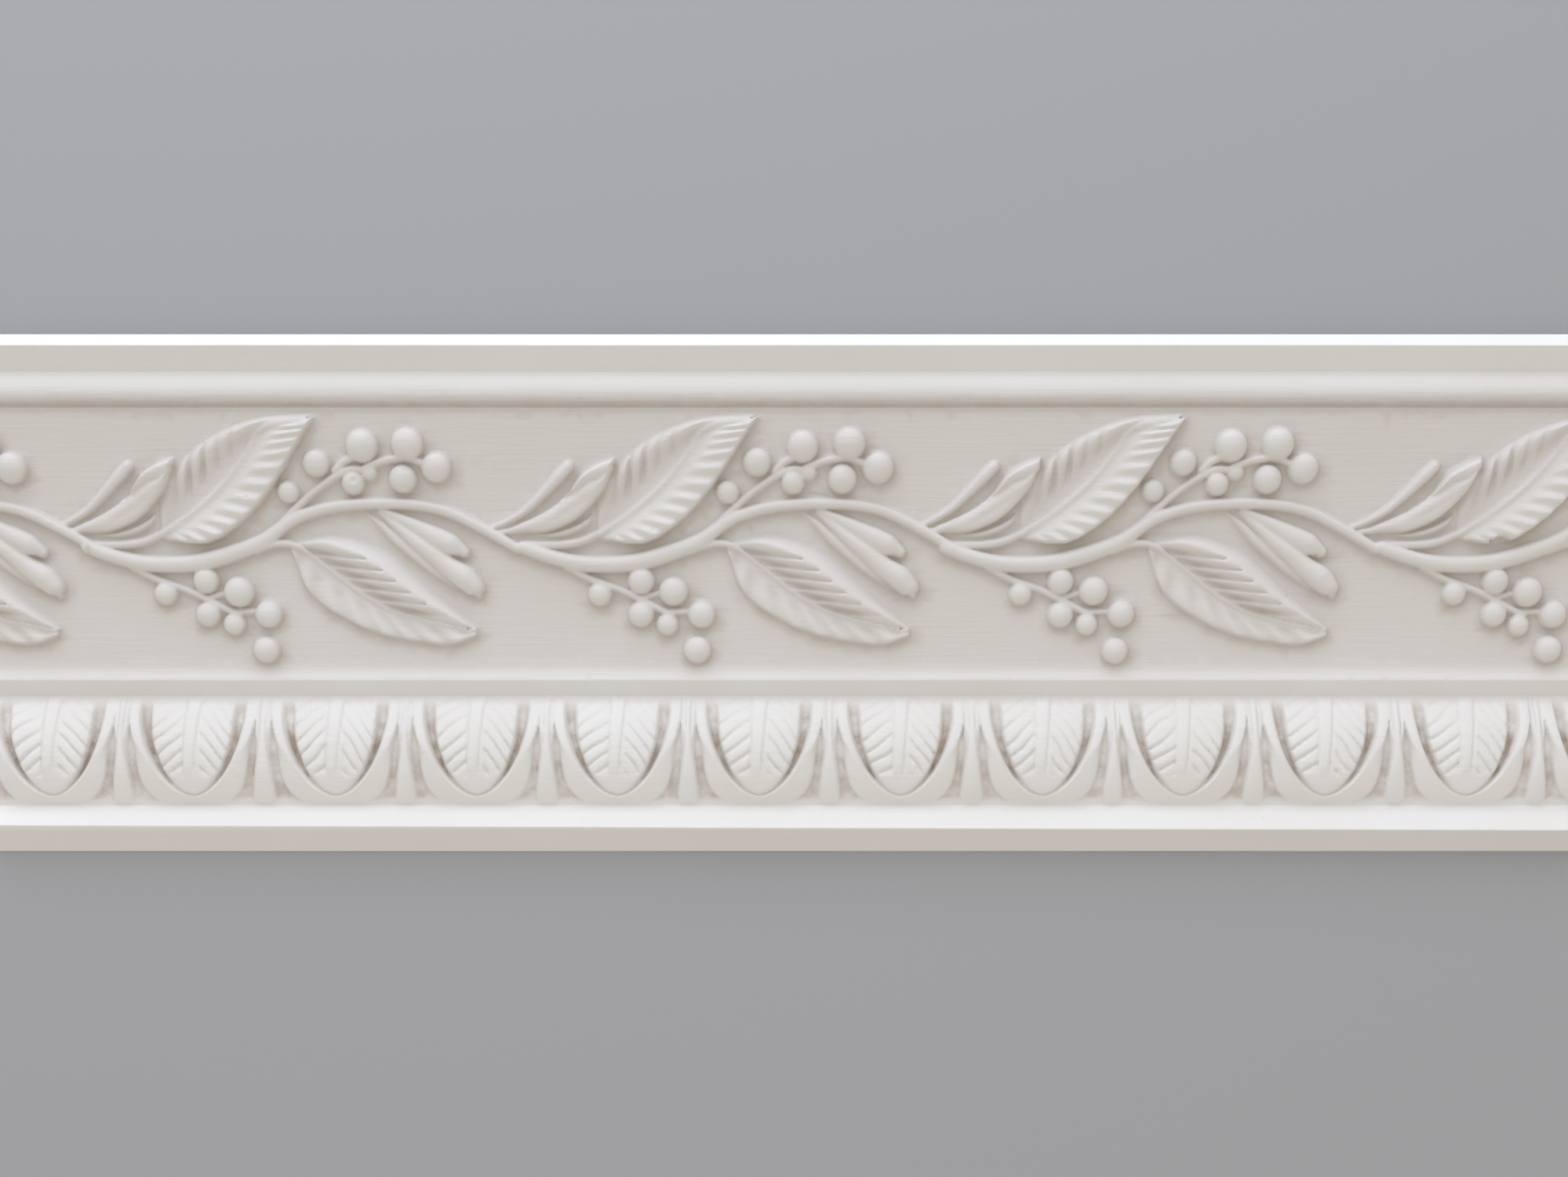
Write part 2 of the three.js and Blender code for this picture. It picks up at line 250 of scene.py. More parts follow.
# Places on the vine drawing are in percent, along the repeat and down the frieze, and half
# widths are in percent of the frieze.
vine = {
    "repeat": 130.3,
    "copies": 5,
    "start": 33.3,
    "handShift": 1.1,
    "nearness": (161, 54, 0.00032, 0.5),
    "stem": ([[0, 54.1], [5.8, 57.4], [13, 60.1], [20.2, 60.7], [27.4, 59.5], [34.7, 55.9],
              [41, 51.7], [45.5, 46.2], [50, 42], [58.1, 38.4], [70.8, 37.2], [82.5, 39.6],
              [92.4, 47.1], [100.5, 54.6]], [2.5, 2.9, 3.3, 3.5, 3.2, 2.4, 2.2, 2.1, 2.1, 2.0], 1.2),
    "twigs": [
        ([[0.7, 52.6], [7.6, 53.2], [13, 52], [17.5, 48.9]], [1.3, 1.7, 1.6], 1.0),
        ([[38.6, 54.4], [42.8, 49.5], [48.2, 39.9], [54.5, 30.9], [61, 24.6], [65.7, 24.9]],
         [2.2, 1.7, 1.4, 1.5, 1.4], 1.1),
        ([[57.8, 24.9], [59.9, 21.6], [62.1, 19.8]], [1.4, 1.5], 1.2),
        ([[65, 23.9], [69, 21.3], [74.4, 20.1], [78.9, 22.5]], [1.5, 1.5, 1.4], 1.2),
        ([[10.3, 61.6], [15.7, 66.1], [23.8, 70.9], [31.9, 77.5], [35.7, 80.2]], [1.5, 1.5, 1.4], 0.9),
        ([[27.8, 74.2], [31.8, 72.1]], [1.2, 1.2], 0.8),
        ([[34.7, 79.3], [39, 79]], [1.3, 1.3], 0.8),
        ([[39.2, 55], [42.8, 53.2], [46.4, 52.6], [49.5, 54.1], [53.1, 58], [58.1, 64.3]],
         [2.0, 1.6, 1.5, 1.3, 0.8, 0.4], [1.2, 1.2, 1.2, 1.2, 1.0, 0.5]),
        ([[65, 40.8], [68.6, 45.6], [71.9, 50.7], [75.5, 55.7], [79.1, 60.7], [82.7, 65.3], [86.3, 70.3]],
         [0.7, 1.6, 2.2, 2.2, 2.1, 1.8, 0.8], 0.4),
        ([[68.5, 40.0], [72.6, 42.8], [77.4, 46.6], [81.4, 50.2], [85, 53.1], [87.9, 55.8]],
         [1.2, 2.0, 3.0, 4.2, 4.3, 2.5], [0.7, 0.8, 1.0, 1.1, 0.9]),
        ([[68, 40.6], [72.8, 46.6], [76.7, 51.7], [80.9, 56.7], [84.5, 61.7], [88.1, 65.8], [90.8, 70.3],
          [91.5, 72.6]], [0.9, 1.9, 2.7, 3.5, 4.1, 4.9, 3.9, 1.8], [0.7, 1.1, 1.3, 1.3, 1.2, 1.1, 0.9, 0.6]),
    ],
    "cutTwig": ([[-8.2, 47.0], [-4.0, 44.2], [0.4, 39.6], [5, 31.7], [7.6, 26.8], [9.5, 23.4]],
                [0.9, 1.1, 1.5, 2.1, 2.5, 2.2], 0.9),
    "budStalk": ([[-6.0, 48.2], [-2.6, 47.6], [1.0, 45.8], [4.0, 43.5]], [0.8, 1.3, 1.8, 1.8], 1.0),
    "sepal": ([[3.0, 49.6], [7.5, 49.2], [11.6, 47.3], [14.6, 44.4], [15.6, 42.0]],
              [0.4, 1.0, 1.3, 1.2, 0.6], 1.0),
    "berries": [
        (47.1, 32.7, 4.5), (53.6, 21.9, 5.4), (64.1, 15.9, 6.2), (74.9, 14.7, 6.2), (81.6, 24, 6.0),
        (73.5, 27.9, 5.6), (62.1, 29.7, 4.7), (65.9, 25.7, 3.4), (28, 67, 5.3), (18.6, 72.1, 4.8),
        (35.6, 71.2, 5.9), (42.4, 79.9, 5.4), (28.5, 80.2, 5.1), (34.8, 84.1, 4.5), (42.1, 94, 5.4),
    ],
}

# Each half of a leaf is ruled from its rib to its edge, in pairs of places.
upperLeaf = {
    "rib": [[17.5, 48.9], [19.5, 47.3], [23.2, 42.8], [31, 31.6], [37.1, 18.3], [41.5, 8.2], [52.3, 4.9]],
    "edge": [[18.1, 51.4], [28.5, 52.6], [36.5, 44.6], [42.8, 33], [48.4, 18.3], [51.4, 9.8], [53.2, 5.2]],
    "backRib": [[17.5, 48.9], [20.5, 45.8], [25.5, 39.8], [30.8, 32], [36, 21], [40.3, 10.6], [52.3, 4.9]],
    "backEdge": [[17.0, 48.4], [16.9, 33.3], [21.3, 22.6], [26.9, 14.4], [34.3, 8.2], [42, 5.0], [52.4, 3.9]],
    "midrib": [[17.5, 48.9], [23.8, 42], [29.2, 34.5], [33.6, 26.7], [36.8, 18.9], [40.1, 11.1], [42.6, 7.6]],
    "fingers": 13.4,
    "firstFinger": 0.155,
    "flatter": [(0, -0.01), (0.3, -0.06), (0.55, 0.0), (0.85, 0.1), (1, 0.1)],
    "groove": 1.1,
    "tip": 2.5,
    "section": [(0, 2.0), (0.12, 1.9), (0.35, 3.0), (0.62, 4.0), (0.84, 4.4), (1, 4.2)],
    "backSection": [(0, 2.1), (0.1, 1.2), (0.35, 0.9), (0.52, 1.3), (0.66, 2.0), (0.8, 2.6), (0.9, 2.1),
                    (1, 0.6)],
    "folds": (25.1, 3.2, 2.3),
}
lowerLeaf = {
    "rib": [[48.7, 54.1], [53.1, 58], [58.1, 64.3], [63.9, 71.8], [70.2, 77.8], [78.9, 82.3], [91, 86.5]],
    "upEdge": [[49.2, 51.4], [59, 49.8], [70, 56], [77, 65], [82.5, 72.8], [87.5, 79.5], [91.4, 85.9]],
    "lowEdge": [[47.3, 55], [52, 72.1], [61.2, 82.9], [69.7, 88.6], [77.1, 91], [84.8, 92.2], [91.1, 88.9]],
    "ribSlope": 0.24,
    "firstRib": 39.2,
    "ribStep": 3.55,
    "scoop": 1.75,
    "crest": 0.66,
    "section": [(0, 1.4), (0.08, 1.2), (0.28, 2.7), (0.46, 4.3), (0.6, 5.1), (0.74, 4.5), (0.88, 2.3),
                (1, 0.0)],
    "lowSection": [(0, 1.4), (0.12, 0.8), (0.35, 1.4), (0.8, 2.3), (0.93, 2.1), (1, 1.3)],
    "lowRibs": (8.0, 0.14, 0.85),
    "blunt": 1.1,
}
foldedLeaf = {
    "crease": [[-1.4, 46.2], [5.8, 39.6], [11.5, 32.3], [14.4, 28.9], [17.3, 27.4], [20.0, 24.0]],
    "upEdge": [[-3.2, 46.4], [4.4, 40.6], [9.4, 34.2], [12.4, 26.3], [16.6, 21.6], [20.2, 19.8]],
    "lowEdge": [[-0.4, 48.9], [5.8, 48], [11.6, 44], [15.4, 38.4], [18.6, 31.2], [20.6, 22.4]],
    "upSection": [(0, 3.5), (0.15, 4.3), (0.45, 5.1), (0.8, 4.7), (1, 3.2)],
    "lowSection": [(0, 3.5), (0.12, 4.2), (0.35, 4.8), (0.7, 4.2), (0.9, 3.5), (1, 3.0)],
    "rising": [(0, 0.3), (0.1, 0.55), (0.35, 0.8), (0.75, 1.05), (1, 0.92)],
    "closed": 1.3,
}

# Small accidents of the cast: unit, place on the drawing, radius and depth, and a crumb where
# the depth is negative.
accidents = [
    (1, 37.5, 35.0, 0.42, 0.75), (1, 40.0, 29.6, 0.3, 0.4), (1, 53.9, 17.5, 0.42, 0.5),
    (1, 77.5, 39.0, 0.36, 0.55), (1, 52.6, 52.0, 0.5, 0.6), (1, 49.8, 21.1, 0.5, -0.8),
    (1, 42.4, 60.0, 0.35, 0.4), (2, 30.2, 47.5, 0.4, 0.5), (2, 66.0, 15.2, 0.35, 0.4),
    (2, 12.0, 60.4, 0.4, 0.45), (3, 71.0, 37.4, 0.36, 0.5), (3, 44.0, 20.0, 0.35, 0.5),
    (3, 20.0, 13.5, 0.45, -0.3), (2, 89.0, 57.0, 0.4, -0.5), (1, 95.5, 63.0, 0.35, -0.35),
    (4, 8.2, 58.6, 0.35, 0.5), (1, -20.0, 70.0, 0.5, -0.3), (3, 92.0, 20.0, 0.6, -0.25),
    (1, 62.5, 28.5, 0.8, 0.9),
]

# The notched end of every upper pod, and two breaks that only one unit has: where they are on
# the drawing, and their half sizes and depths in millimetres.
breaks = {
    "podNotch": {"place": (86.6, 57.4), "reach": (1.2, 0.8)},
    "stemJoint": {"unit": 1, "place": (0.6, 55.2), "reach": (0.7, 1.3), "depth": 1.1},
    "leafChip": {"unit": 4, "place": (27.4, 52.2), "reach": (3.1, 1.5), "left": 0.9},
}


def onDrawing(places):
    # The drawing is a view from in front of a place to the right of the repeat, so what stands
    # nearer than the stem joint moves back from that place by the nearness share.
    a, b = np.asarray(places, float).T
    across, down, share, rise = vine["nearness"]
    a = a + (across - a) * (down - b) * share
    return np.stack([a * vine["repeat"] / 100, (b - rise) * friezeSpan / 100], -1)


def wall(surface, v, width):
    # Lets a surface drop steeply to the ground at its outer edge.
    return np.minimum(surface, (1 - v) * width * wallSlope)


def fingers(phase, sharp):
    # 1 in the middle of a groove and 0 on the round back of the finger between two grooves.
    off = np.abs(phase - np.round(phase))
    return np.exp(-(off / sharp) ** 2), (off * 2) ** 2


def waves(phase, sharp):
    # 1 in the middle of a groove and 0 on the round back between two, as a sharpened cosine.
    return (0.5 + 0.5 * np.cos(2 * math.pi * phase)) ** sharp


def upperLeafHeight(x, y):
    leaf = upperLeaf
    t, v, width, on = onHalfLeaf(x, y, onDrawing(leaf["rib"]), onDrawing(leaf["edge"]))
    flatter = profileOf(t, leaf["flatter"])
    phase = leaf["fingers"] * (t + flatter * (1 - v) - leaf["firstFinger"]) + 0.5
    groove = waves(phase, 1.0)
    deep = smoothStep(0.2, 0.62, v) * (1 - 0.6 * smoothStep(0.84, 1.0, v))
    deep = deep * smoothStep(0.02, 0.12, t) * (1 - smoothStep(0.87, 0.93, t))
    ends = profileOf(t, [(0, 0.35), (0.1, 0.85), (0.5, 1.0), (0.85, 0.84), (1, 0.6)])
    front = profileOf(v, leaf["section"]) * ends + (0.4 - leaf["groove"] * groove) * deep
    # towards the tip both halves join in one plate
    plate = leaf["tip"] * (1 - 0.25 * smoothStep(0.9, 1, t))
    front = np.maximum(front, plate * smoothStep(0.7, 0.86, t))
    front = np.where(on & (v > -0.04), wall(front, v + 0.03 * groove * deep, width), outside)
    t, v, width, on = onHalfLeaf(x, y, onDrawing(leaf["backRib"]), onDrawing(leaf["backEdge"]))
    low = 1 - 0.62 * (1 - smoothStep(0.14, 0.34, t)) * smoothStep(0.45, 0.85, v)
    rear = profileOf(v, leaf["backSection"]) * low * (0.86 + 0.4 * smoothStep(0.55, 1.0, t))
    # folds hang from the rolled rim and fade out down the pocket, the nearest two deepest
    first, step, depth = leaf["folds"]
    percent = x / vine["repeat"] * 100
    groove, back = fingers((percent - first + 0.06 * (y / friezeSpan * 100 - 25)) / step, 0.21)
    hung = smoothStep(0.2, 0.5, v) * (1 - 0.7 * smoothStep(0.8, 0.97, v)) * smoothStep(0.14, 0.24, t)
    hung = hung * (1.15 - 0.75 * smoothStep(26.5, 33, percent)) * (1 - smoothStep(36, 38, percent))
    hung = hung * (0.4 + 0.6 * smoothStep(22.6, 24.2, percent))
    rear = rear - depth * (groove - 0.3 * (1 - back)) * hung
    joined = smoothStep(0.72, 0.9, t)
    rear = rear * (1 - joined) + (plate - 0.9 * v ** 2) * joined
    rear = np.where(on & (v > -0.04), np.minimum(rear, (1 - v) * width * 2.8 + 0.1), outside)
    rib = strand(x, y, onDrawing(leaf["midrib"]), [1.1, 1.0, 0.9, 0.75, 0.6, 0.3],
                 [1.9, 1.9, 1.9, 2.0, 2.0, 1.5], 0.7)
    return smoothMax(smoothMax(front, rear, 0.5), rib, 0.3)


def lowerLeafHeight(x, y):
    leaf = lowerLeaf
    bluntEnd = lambda t, v: leaf["blunt"] * smoothStep(0.72, 0.92, t) * (1 - smoothStep(0.0, 0.6, v))
    t, v, width, on = onHalfLeaf(x, y, onDrawing(leaf["rib"]), onDrawing(leaf["upEdge"]))
    px, py = x / vine["repeat"] * 100 + 0.4, y / friezeSpan * 100 + 0.5
    phase = (py - leaf["ribSlope"] * px - leaf["firstRib"]) / leaf["ribStep"]
    # each scoop is a wedge that closes with a round end just short of the crest
    off = 2 * np.abs(phase - np.round(phase))
    reach = np.clip(v / (leaf["crest"] * (1 - 0.1 * smoothStep(0.6, 1, t))), 0, 1)
    opening = 0.8 * np.sqrt(1 - reach ** 3) + 1e-3
    hollow = np.clip(1 - (off / opening) ** 2, 0, 1) * (1 - 0.3 * reach ** 2)
    ends = profileOf(t, [(0, 0.2), (0.1, 0.62), (0.3, 1.0), (0.7, 0.9), (0.9, 0.58), (1, 0.42)])
    deep = smoothStep(0.0, 0.14, v) * (1 - smoothStep(0.78, 0.88, t)) * smoothStep(0.35, 0.6, phase)
    hump = profileOf(v, leaf["section"]) * ends - leaf["scoop"] * hollow * deep * ends
    hump = np.where(on & (v > -0.04) & (v < 1), np.maximum(hump, 0.3 * (v < 0.9)) + bluntEnd(t, v), outside)
    t, v, width, on = onHalfLeaf(x, y, onDrawing(leaf["rib"]), onDrawing(leaf["lowEdge"]))
    count, first, depth = leaf["lowRibs"]
    groove = waves(count * (t - first) + 0.5, 1.2)
    flat = profileOf(v, leaf["lowSection"]) * profileOf(t, [(0, 0.6), (0.2, 1.0), (0.85, 1.0), (1, 1.25)])
    flat += 0.25 - depth * groove * smoothStep(0.15, 0.5, v)
    flat += bluntEnd(t, v)
    flat = np.where(on & (v > -0.04), wall(flat, v, width), outside)
    return smoothMax(hump, flat, 0.3)


def foldedLeafHeight(x, y):
    leaf = foldedLeaf
    halves = []
    for side in ("up", "low"):
        t, v, width, on = onHalfLeaf(x, y, onDrawing(leaf["crease"]), onDrawing(leaf[side + "Edge"]))
        half = profileOf(v, leaf[side + "Section"]) * profileOf(t, leaf["rising"])
        half += leaf["closed"] * smoothStep(0.68, 0.95, t) * (1 - v) ** 2
        if side == "low":
            # a second, shallow crease along the lower half
            second = smoothStep(0.15, 0.3, t) * (1 - smoothStep(0.5, 0.65, t))
            half -= 0.4 * np.exp(-((v - 0.55) / 0.13) ** 2) * second
        halves.append(np.where(on & (v > -0.03), wall(half, v, width), outside))
    return smoothMax(*halves, 0.3)


def carve(relief, x, y, height, low, high, blend):
    # Adds one carved form to the relief, inside the box of the drawing that holds it.
    cols = np.flatnonzero((x > low[0]) & (x < high[0]))
    rows = np.flatnonzero((y > low[1]) & (y < high[1]))
    if len(cols) < 2 or len(rows) < 2:
        return
    spot = np.ix_(rows, cols)
    gx, gy = np.meshgrid(x[cols], y[rows])
    relief[spot] = smoothMax(relief[spot], height(gx, gy), blend)


def boxOf(*paths):
    places = np.vstack(paths)
    return places.min(0) - 4.5, places.max(0) + 4.5


def friezeRelief(x, y):
    # x runs along the whole cornice and y down the frieze, both in millimetres.
    relief = np.zeros((len(y), len(x)))
    ofFrieze = lambda widths: np.asarray(widths) * friezeSpan / 100
    for index in range(vine["copies"]):
        shift = vine["handShift"] * (-1 if index % 2 else 1)
        start = -profile["length"] / 2 + vine["start"] + (index - 1) * vine["repeat"] + shift
        local = x - start
        mine = dice.uniform(-1, 1, 64)

        def add(height, *paths, blend=0.5):
            low, high = boxOf(*paths)
            carve(relief, local, y, height, low, high, blend)

        def addStrand(path, widths, lift, blend=0.5):
            path = onDrawing(path)
            add(lambda a, b: strand(a, b, path, ofFrieze(widths), lift), path, blend=blend)

        addStrand(*vine["stem"], blend=0.8)
        for twig in vine["twigs"]:
            addStrand(*twig, blend=0.6)
        for name in ("cutTwig", "budStalk", "sepal"):
            addStrand(*vine[name])
        add(foldedLeafHeight, onDrawing(foldedLeaf["upEdge"]), onDrawing(foldedLeaf["lowEdge"]))
        add(upperLeafHeight, onDrawing(upperLeaf["edge"]), onDrawing(upperLeaf["backEdge"]))
        add(lowerLeafHeight, onDrawing(lowerLeaf["upEdge"]), onDrawing(lowerLeaf["lowEdge"]), blend=0.6)
        for number, (a, b, size) in enumerate(vine["berries"]):
            centre = onDrawing([a, b]) + 0.25 * mine[2 * number:2 * number + 2]
            radius = size * friezeSpan / 100 * (1 + 0.03 * mine[number + 30])
            add(lambda p, q: berry(p, q, centre, radius), [centre - radius, centre + radius], blend=0.3)

        gx, gy = np.meshgrid(local, y)

        def awayFrom(name):
            # Distance from the middle of a break, counted in its half sizes.
            a, b = onDrawing(breaks[name]["place"])
            wide, tall = breaks[name]["reach"]
            return np.hypot((gx - a) / wide, (gy - b) / tall)

        away = awayFrom("podNotch")
        relief = np.minimum(relief, np.where(away < 1.6, 1.7 + 2.4 * np.maximum(away - 0.5, 0), 99))
        if index == breaks["stemJoint"]["unit"]:
            # the stem is chipped where two pressings meet
            relief = relief - breaks["stemJoint"]["depth"] * np.exp(-awayFrom("stemJoint") ** 2 * 1.5)
        if index == breaks["leafChip"]["unit"]:
            # a piece has gone from the lower edge of the upper leaf
            left = breaks["leafChip"]["left"]
            rough = 0.5 * softNoise(gx, gy, (1.1, 1.1), 21)
            broken = awayFrom("leafChip") + 0.3 * rough < 1
            relief = np.where(broken & (relief > left), left + rough, relief)
        for unit, a, b, size, depth in accidents:
            if unit == index:
                place = onDrawing([a, b])
                relief = relief + dimple(gx, gy, place, size * 1.25, depth)
    return relief


# Leaf and dart on the band. Places are in percent, off the axis of a unit and down the band.
leafBand = {
    "repeat": 43.6,
    "start": 61.9,
    "inside": (37, 90.3, 1.75, 2.0),
    "skirt": (40.5, 100.5, 3.0, 5.5),
    "leafHalf": [(0, 29.3), (25, 29.3), (35, 28.6), (49, 26.0), (57, 23.6), (65, 21.2), (73, 17.6),
                 (80, 13.2), (85, 9.2), (88.2, 4.4), (89.6, 0.4)],
    "ribStep": (4.6, 5.2),
    "ribLean": (0.72, 1.25),
    "ribDepth": 1.0,
    "facet": 0.36,
    "stalk": (5.0, 1.5),
    "stalkMiddle": (0.9, 3.3),
    "headSpread": 4.6,
    "ringTop": (3.4, 2.8),
    "skirtFall": 0.68,
    "channel": 1.3,
    "pocket": 0.6,
    "dartHalf": [(0, 0.8), (30, 0.85), (48, 1.4), (60, 1.9), (73, 2.4), (85, 2.8), (92, 2.85), (97, 2.3),
                 (100, 0.3)],
}


def bandRing(off, percent, downward, full):
    # Its borders are two drop-shaped curves, and a distance from one is its level over its slope.
    # Gives the height, and the distances outwards from both borders.
    b = leafBand
    levels = []
    for half, foot, sideways, downwards in (b["inside"], b["skirt"]):
        # the arms of the ring stand apart at their heads
        half = (half + b["headSpread"] * (half > 40) * (1 - smoothStep(18, 50, percent))) * b["repeat"] / 100
        foot = foot * bandSpan / 100
        sideShare, footShare = np.abs(off) / half, downward / foot
        level = footShare ** downwards + sideShare ** sideways - 1
        slopeX = sideways * np.maximum(sideShare, 0.02) ** (sideways - 1) / half
        slopeY = downwards * np.maximum(footShare, 0.01) ** (downwards - 1) / foot
        levels.append(level / np.hypot(slopeX, slopeY))
    away, beyond = levels
    inner = smoothStep(-0.2, 0.65, away)
    flatTop = b["ringTop"][0] - b["ringTop"][1] * smoothStep(34, 66, percent)
    fall = np.maximum(away - flatTop, 0)
    skirt = fall / (fall + np.maximum(-beyond, 0) + 0.05)
    outer = full * (1 - b["skirtFall"] * skirt ** 1.25) - np.maximum(beyond + 0.2, 0) * 3.0
    ring = np.minimum(inner * full, outer)
    ring = ring + 0.16 * np.exp(-((away - 0.75) / 0.45) ** 2) * smoothStep(30, 60, percent)
    return ring, away, beyond


def bandLeaf(x, off, percent, downward, full, mine):
    # A blunt blade with slanting ribs, a plain tip and a flat stalk down its middle. Gives the
    # height, and half the width of the blade.
    b = leafBand
    half = profileOf(percent, b["leafHalf"]) * b["repeat"] / 100
    across = np.abs(off) / np.maximum(half, 0.2)
    margin = (half - np.abs(off)) * 0.85
    body = full * (0.97 - 0.26 * np.clip(across, 0, 1.2) ** 3) - 0.1
    right = off > 0
    lean = np.where(right, b["ribLean"][1], b["ribLean"][0]) + 0.08 * mine[None, :, 1]
    step = np.where(right, b["ribStep"][1], b["ribStep"][0])
    phase = (downward - lean * np.abs(off)) / step + 0.35 * right + 0.25 * mine[None, :, 2]
    phase = phase + 0.24 * softNoise(x[None, :], downward, (7.3, 6.1), 31)
    cut = np.abs(phase - np.round(phase))
    groove = np.exp(-(cut / 0.12) ** 2)
    ribbed = smoothStep(1.9, 3.2, np.abs(off)) * (1 - smoothStep(68, 78, percent + 4 * across))
    ribbed = ribbed * (0.45 + 0.55 * smoothStep(15, 50, percent))
    facet = phase - np.floor(phase)
    body = body - ribbed * (b["ribDepth"] * groove * (0.6 + 0.5 * across) + b["facet"] * (1 - facet))
    margin = margin + 0.45 * ribbed * (0.5 - groove)
    blade = np.minimum(body, margin * 2.2)
    stalkMiddle, stalkHalf = [(head - less * np.clip(percent / 65, 0, 1)) * b["repeat"] / 100
                              for head, less in (b["stalkMiddle"], b["stalk"])]
    fromStalk = np.abs(off - stalkMiddle) - stalkHalf
    stalked = 1 - smoothStep(62, 76, percent)
    edgeLine = np.exp(-((fromStalk - 0.3) / 0.36) ** 2)
    blade = blade + stalked * (0.35 * (1 - smoothStep(-0.3, 0.3, fromStalk)) - 0.5 * edgeLine)
    return blade, half


def bandDart(off, percent, full, mine):
    # The dart between two units, with a thin ridge on either side of its head. Gives the height,
    # and the distance outside the dart.
    b = leafBand
    fromDart = b["repeat"] / 2 - np.abs(off) + 0.2 * np.sign(off) * mine[None, :, 3]
    dartHalf = profileOf(percent, b["dartHalf"])
    roundness = np.sqrt(np.clip(1 - (fromDart / np.maximum(dartHalf, 0.05)) ** 2, 0, 1))
    low = 0.56 + 0.22 * (1 - smoothStep(20, 60, percent))
    dart = full * (low + 0.36 * roundness) - np.maximum(np.abs(fromDart) - dartHalf, 0) * 3.4
    dart = np.where(percent < 99.5, dart, 0)
    flank = np.abs(np.abs(fromDart) - 1.55) - 0.3
    flank = full * (0.84 - 0.6 * smoothStep(28, 52, percent)) - np.maximum(flank, 0) * 3.0
    flank = np.where(percent < 54, flank, 0)
    return smoothMax(dart, flank, 0.2), np.abs(fromDart) - dartHalf


def bandRelief(x, u, bedOut):
    # Height of the carving above the sunk bed, up to the full quarter round, and how much its channels and
    # pockets are painted darker.
    b = leafBand
    down = np.clip(u - bandHead, 0, bandSpan)
    halfChord = profile["bandRadius"] * root2
    bulge = np.sqrt(profile["bandRadius"] ** 2 - (down - halfChord) ** 2) - halfChord
    full = np.maximum(bandHeadOut + bulge - bedOut, 0)[:, None]
    place = (x + profile["length"] / 2 - b["start"]) / b["repeat"]
    unit = np.round(place).astype(int)
    off = ((place - unit) * b["repeat"])[None, :]
    percent = (down / bandSpan * 100)[:, None]
    downward = down[:, None]
    mine = np.random.default_rng(5).uniform(-1, 1, (64, 8))[unit % 64]
    off = off + 0.25 * mine[None, :, 0]
    ring, away, beyond = bandRing(off, percent, downward, full)
    blade, half = bandLeaf(x, off, percent, downward, full, mine)
    darts, besideDart = bandDart(off, percent, full, mine)
    rim = (1 - smoothStep(1.0, 3.5, percent)) * full
    relief = np.maximum(smoothMax(ring, blade, 0.25), darts)
    relief = smoothMax(relief, rim, 0.15)
    # the channel round the leaf and the pockets beside the dart are cut below the bed
    inRing = 1 - smoothStep(-0.5, 0.3, away)
    offLeaf = 1 - smoothStep(-0.6, 0.3, half - np.abs(off))
    channel = inRing * offLeaf * smoothStep(3, 18, percent) * (1 - smoothStep(66, 84, percent))
    pocket = smoothStep(-0.6, 0.3, beyond) * smoothStep(0.0, 0.8, besideDart)
    pocket = pocket * smoothStep(44, 62, percent) * (1 - smoothStep(90, 98, percent))
    # the channels and pockets are also painted darker
    sunkenDarkening = np.clip(channel * (0.4 + 0.5 * smoothStep(15, 45, percent)) + 0.6 * pocket, 0, 1)
    return np.maximum(relief, 0) - b["channel"] * channel - b["pocket"] * pocket, sunkenDarkening


def crumbs(x, y, count, spread, size):
    # Specks of plaster caught in the paint, scattered along the length within the spread.
    relief = np.zeros((len(y), len(x)))
    for a, b, c in dice.uniform(0, 1, (count, 3)):
        centre = (x[0] + a * (x[-1] - x[0]), spread[0] + b * (spread[1] - spread[0]))
        radius = size * (0.6 + 0.8 * c)
        cols = np.flatnonzero(np.abs(x - centre[0]) < 3 * radius)
        rows = np.flatnonzero(np.abs(y - centre[1]) < 3 * radius)
        gx, gy = np.meshgrid(x[cols], y[rows])
        away = np.hypot(gx - centre[0], gy - centre[1]) / radius
        relief[np.ix_(rows, cols)] += 0.9 * radius * np.exp(-away ** 2)
    return relief


def blur(values, sigma):
    # Averages rows and columns with a bell of weights.
    reach = math.ceil(3 * sigma)
    weights = np.exp(-0.5 * (np.arange(-reach, reach + 1) / sigma) ** 2)
    weights /= weights.sum()
    for axis in (0, 1):
        width = [(reach, reach) if k == axis else (0, 0) for k in (0, 1)]
        padded = np.pad(values, width, mode="edge")
        total = np.zeros_like(values)
        for k, weight in enumerate(weights):
            cut = [slice(None), slice(None)]
            cut[axis] = slice(k, k + values.shape[axis])
            total += weight * padded[tuple(cut)]
        values = total
    return values


def supportRows(start, end, step):
    # Rows across a plain member, closer together beside its two arrises.
    near = np.array([0, 0.18, 0.4, 0.75])
    inner = np.arange(start + 1.3, end - 1.2, step)
    return np.concatenate([start + near, inner, end - near[::-1]])


def frontRows():
    m = marks
    top = [supportRows(m["fascia"], m["soffit"], 1.6), supportRows(m["soffit"], m["roll"], 1.6)[1:],
           np.arange(m["roll"] + 0.25, m["frieze"] - 1.2, 0.7)]
    foot = [supportRows(m["footFascia"] + 1.0, m["footSoffit"], 1.6),
            supportRows(m["footSoffit"], m["end"], 1.6)[1:]]
    top, foot = np.concatenate(top), np.concatenate(foot)
    first, last = top[-1] + 0.45, foot[0] - 0.4
    fine = np.linspace(first, last, int(round((last - first) / grid["spacing"])) + 1)
    return top, fine, foot


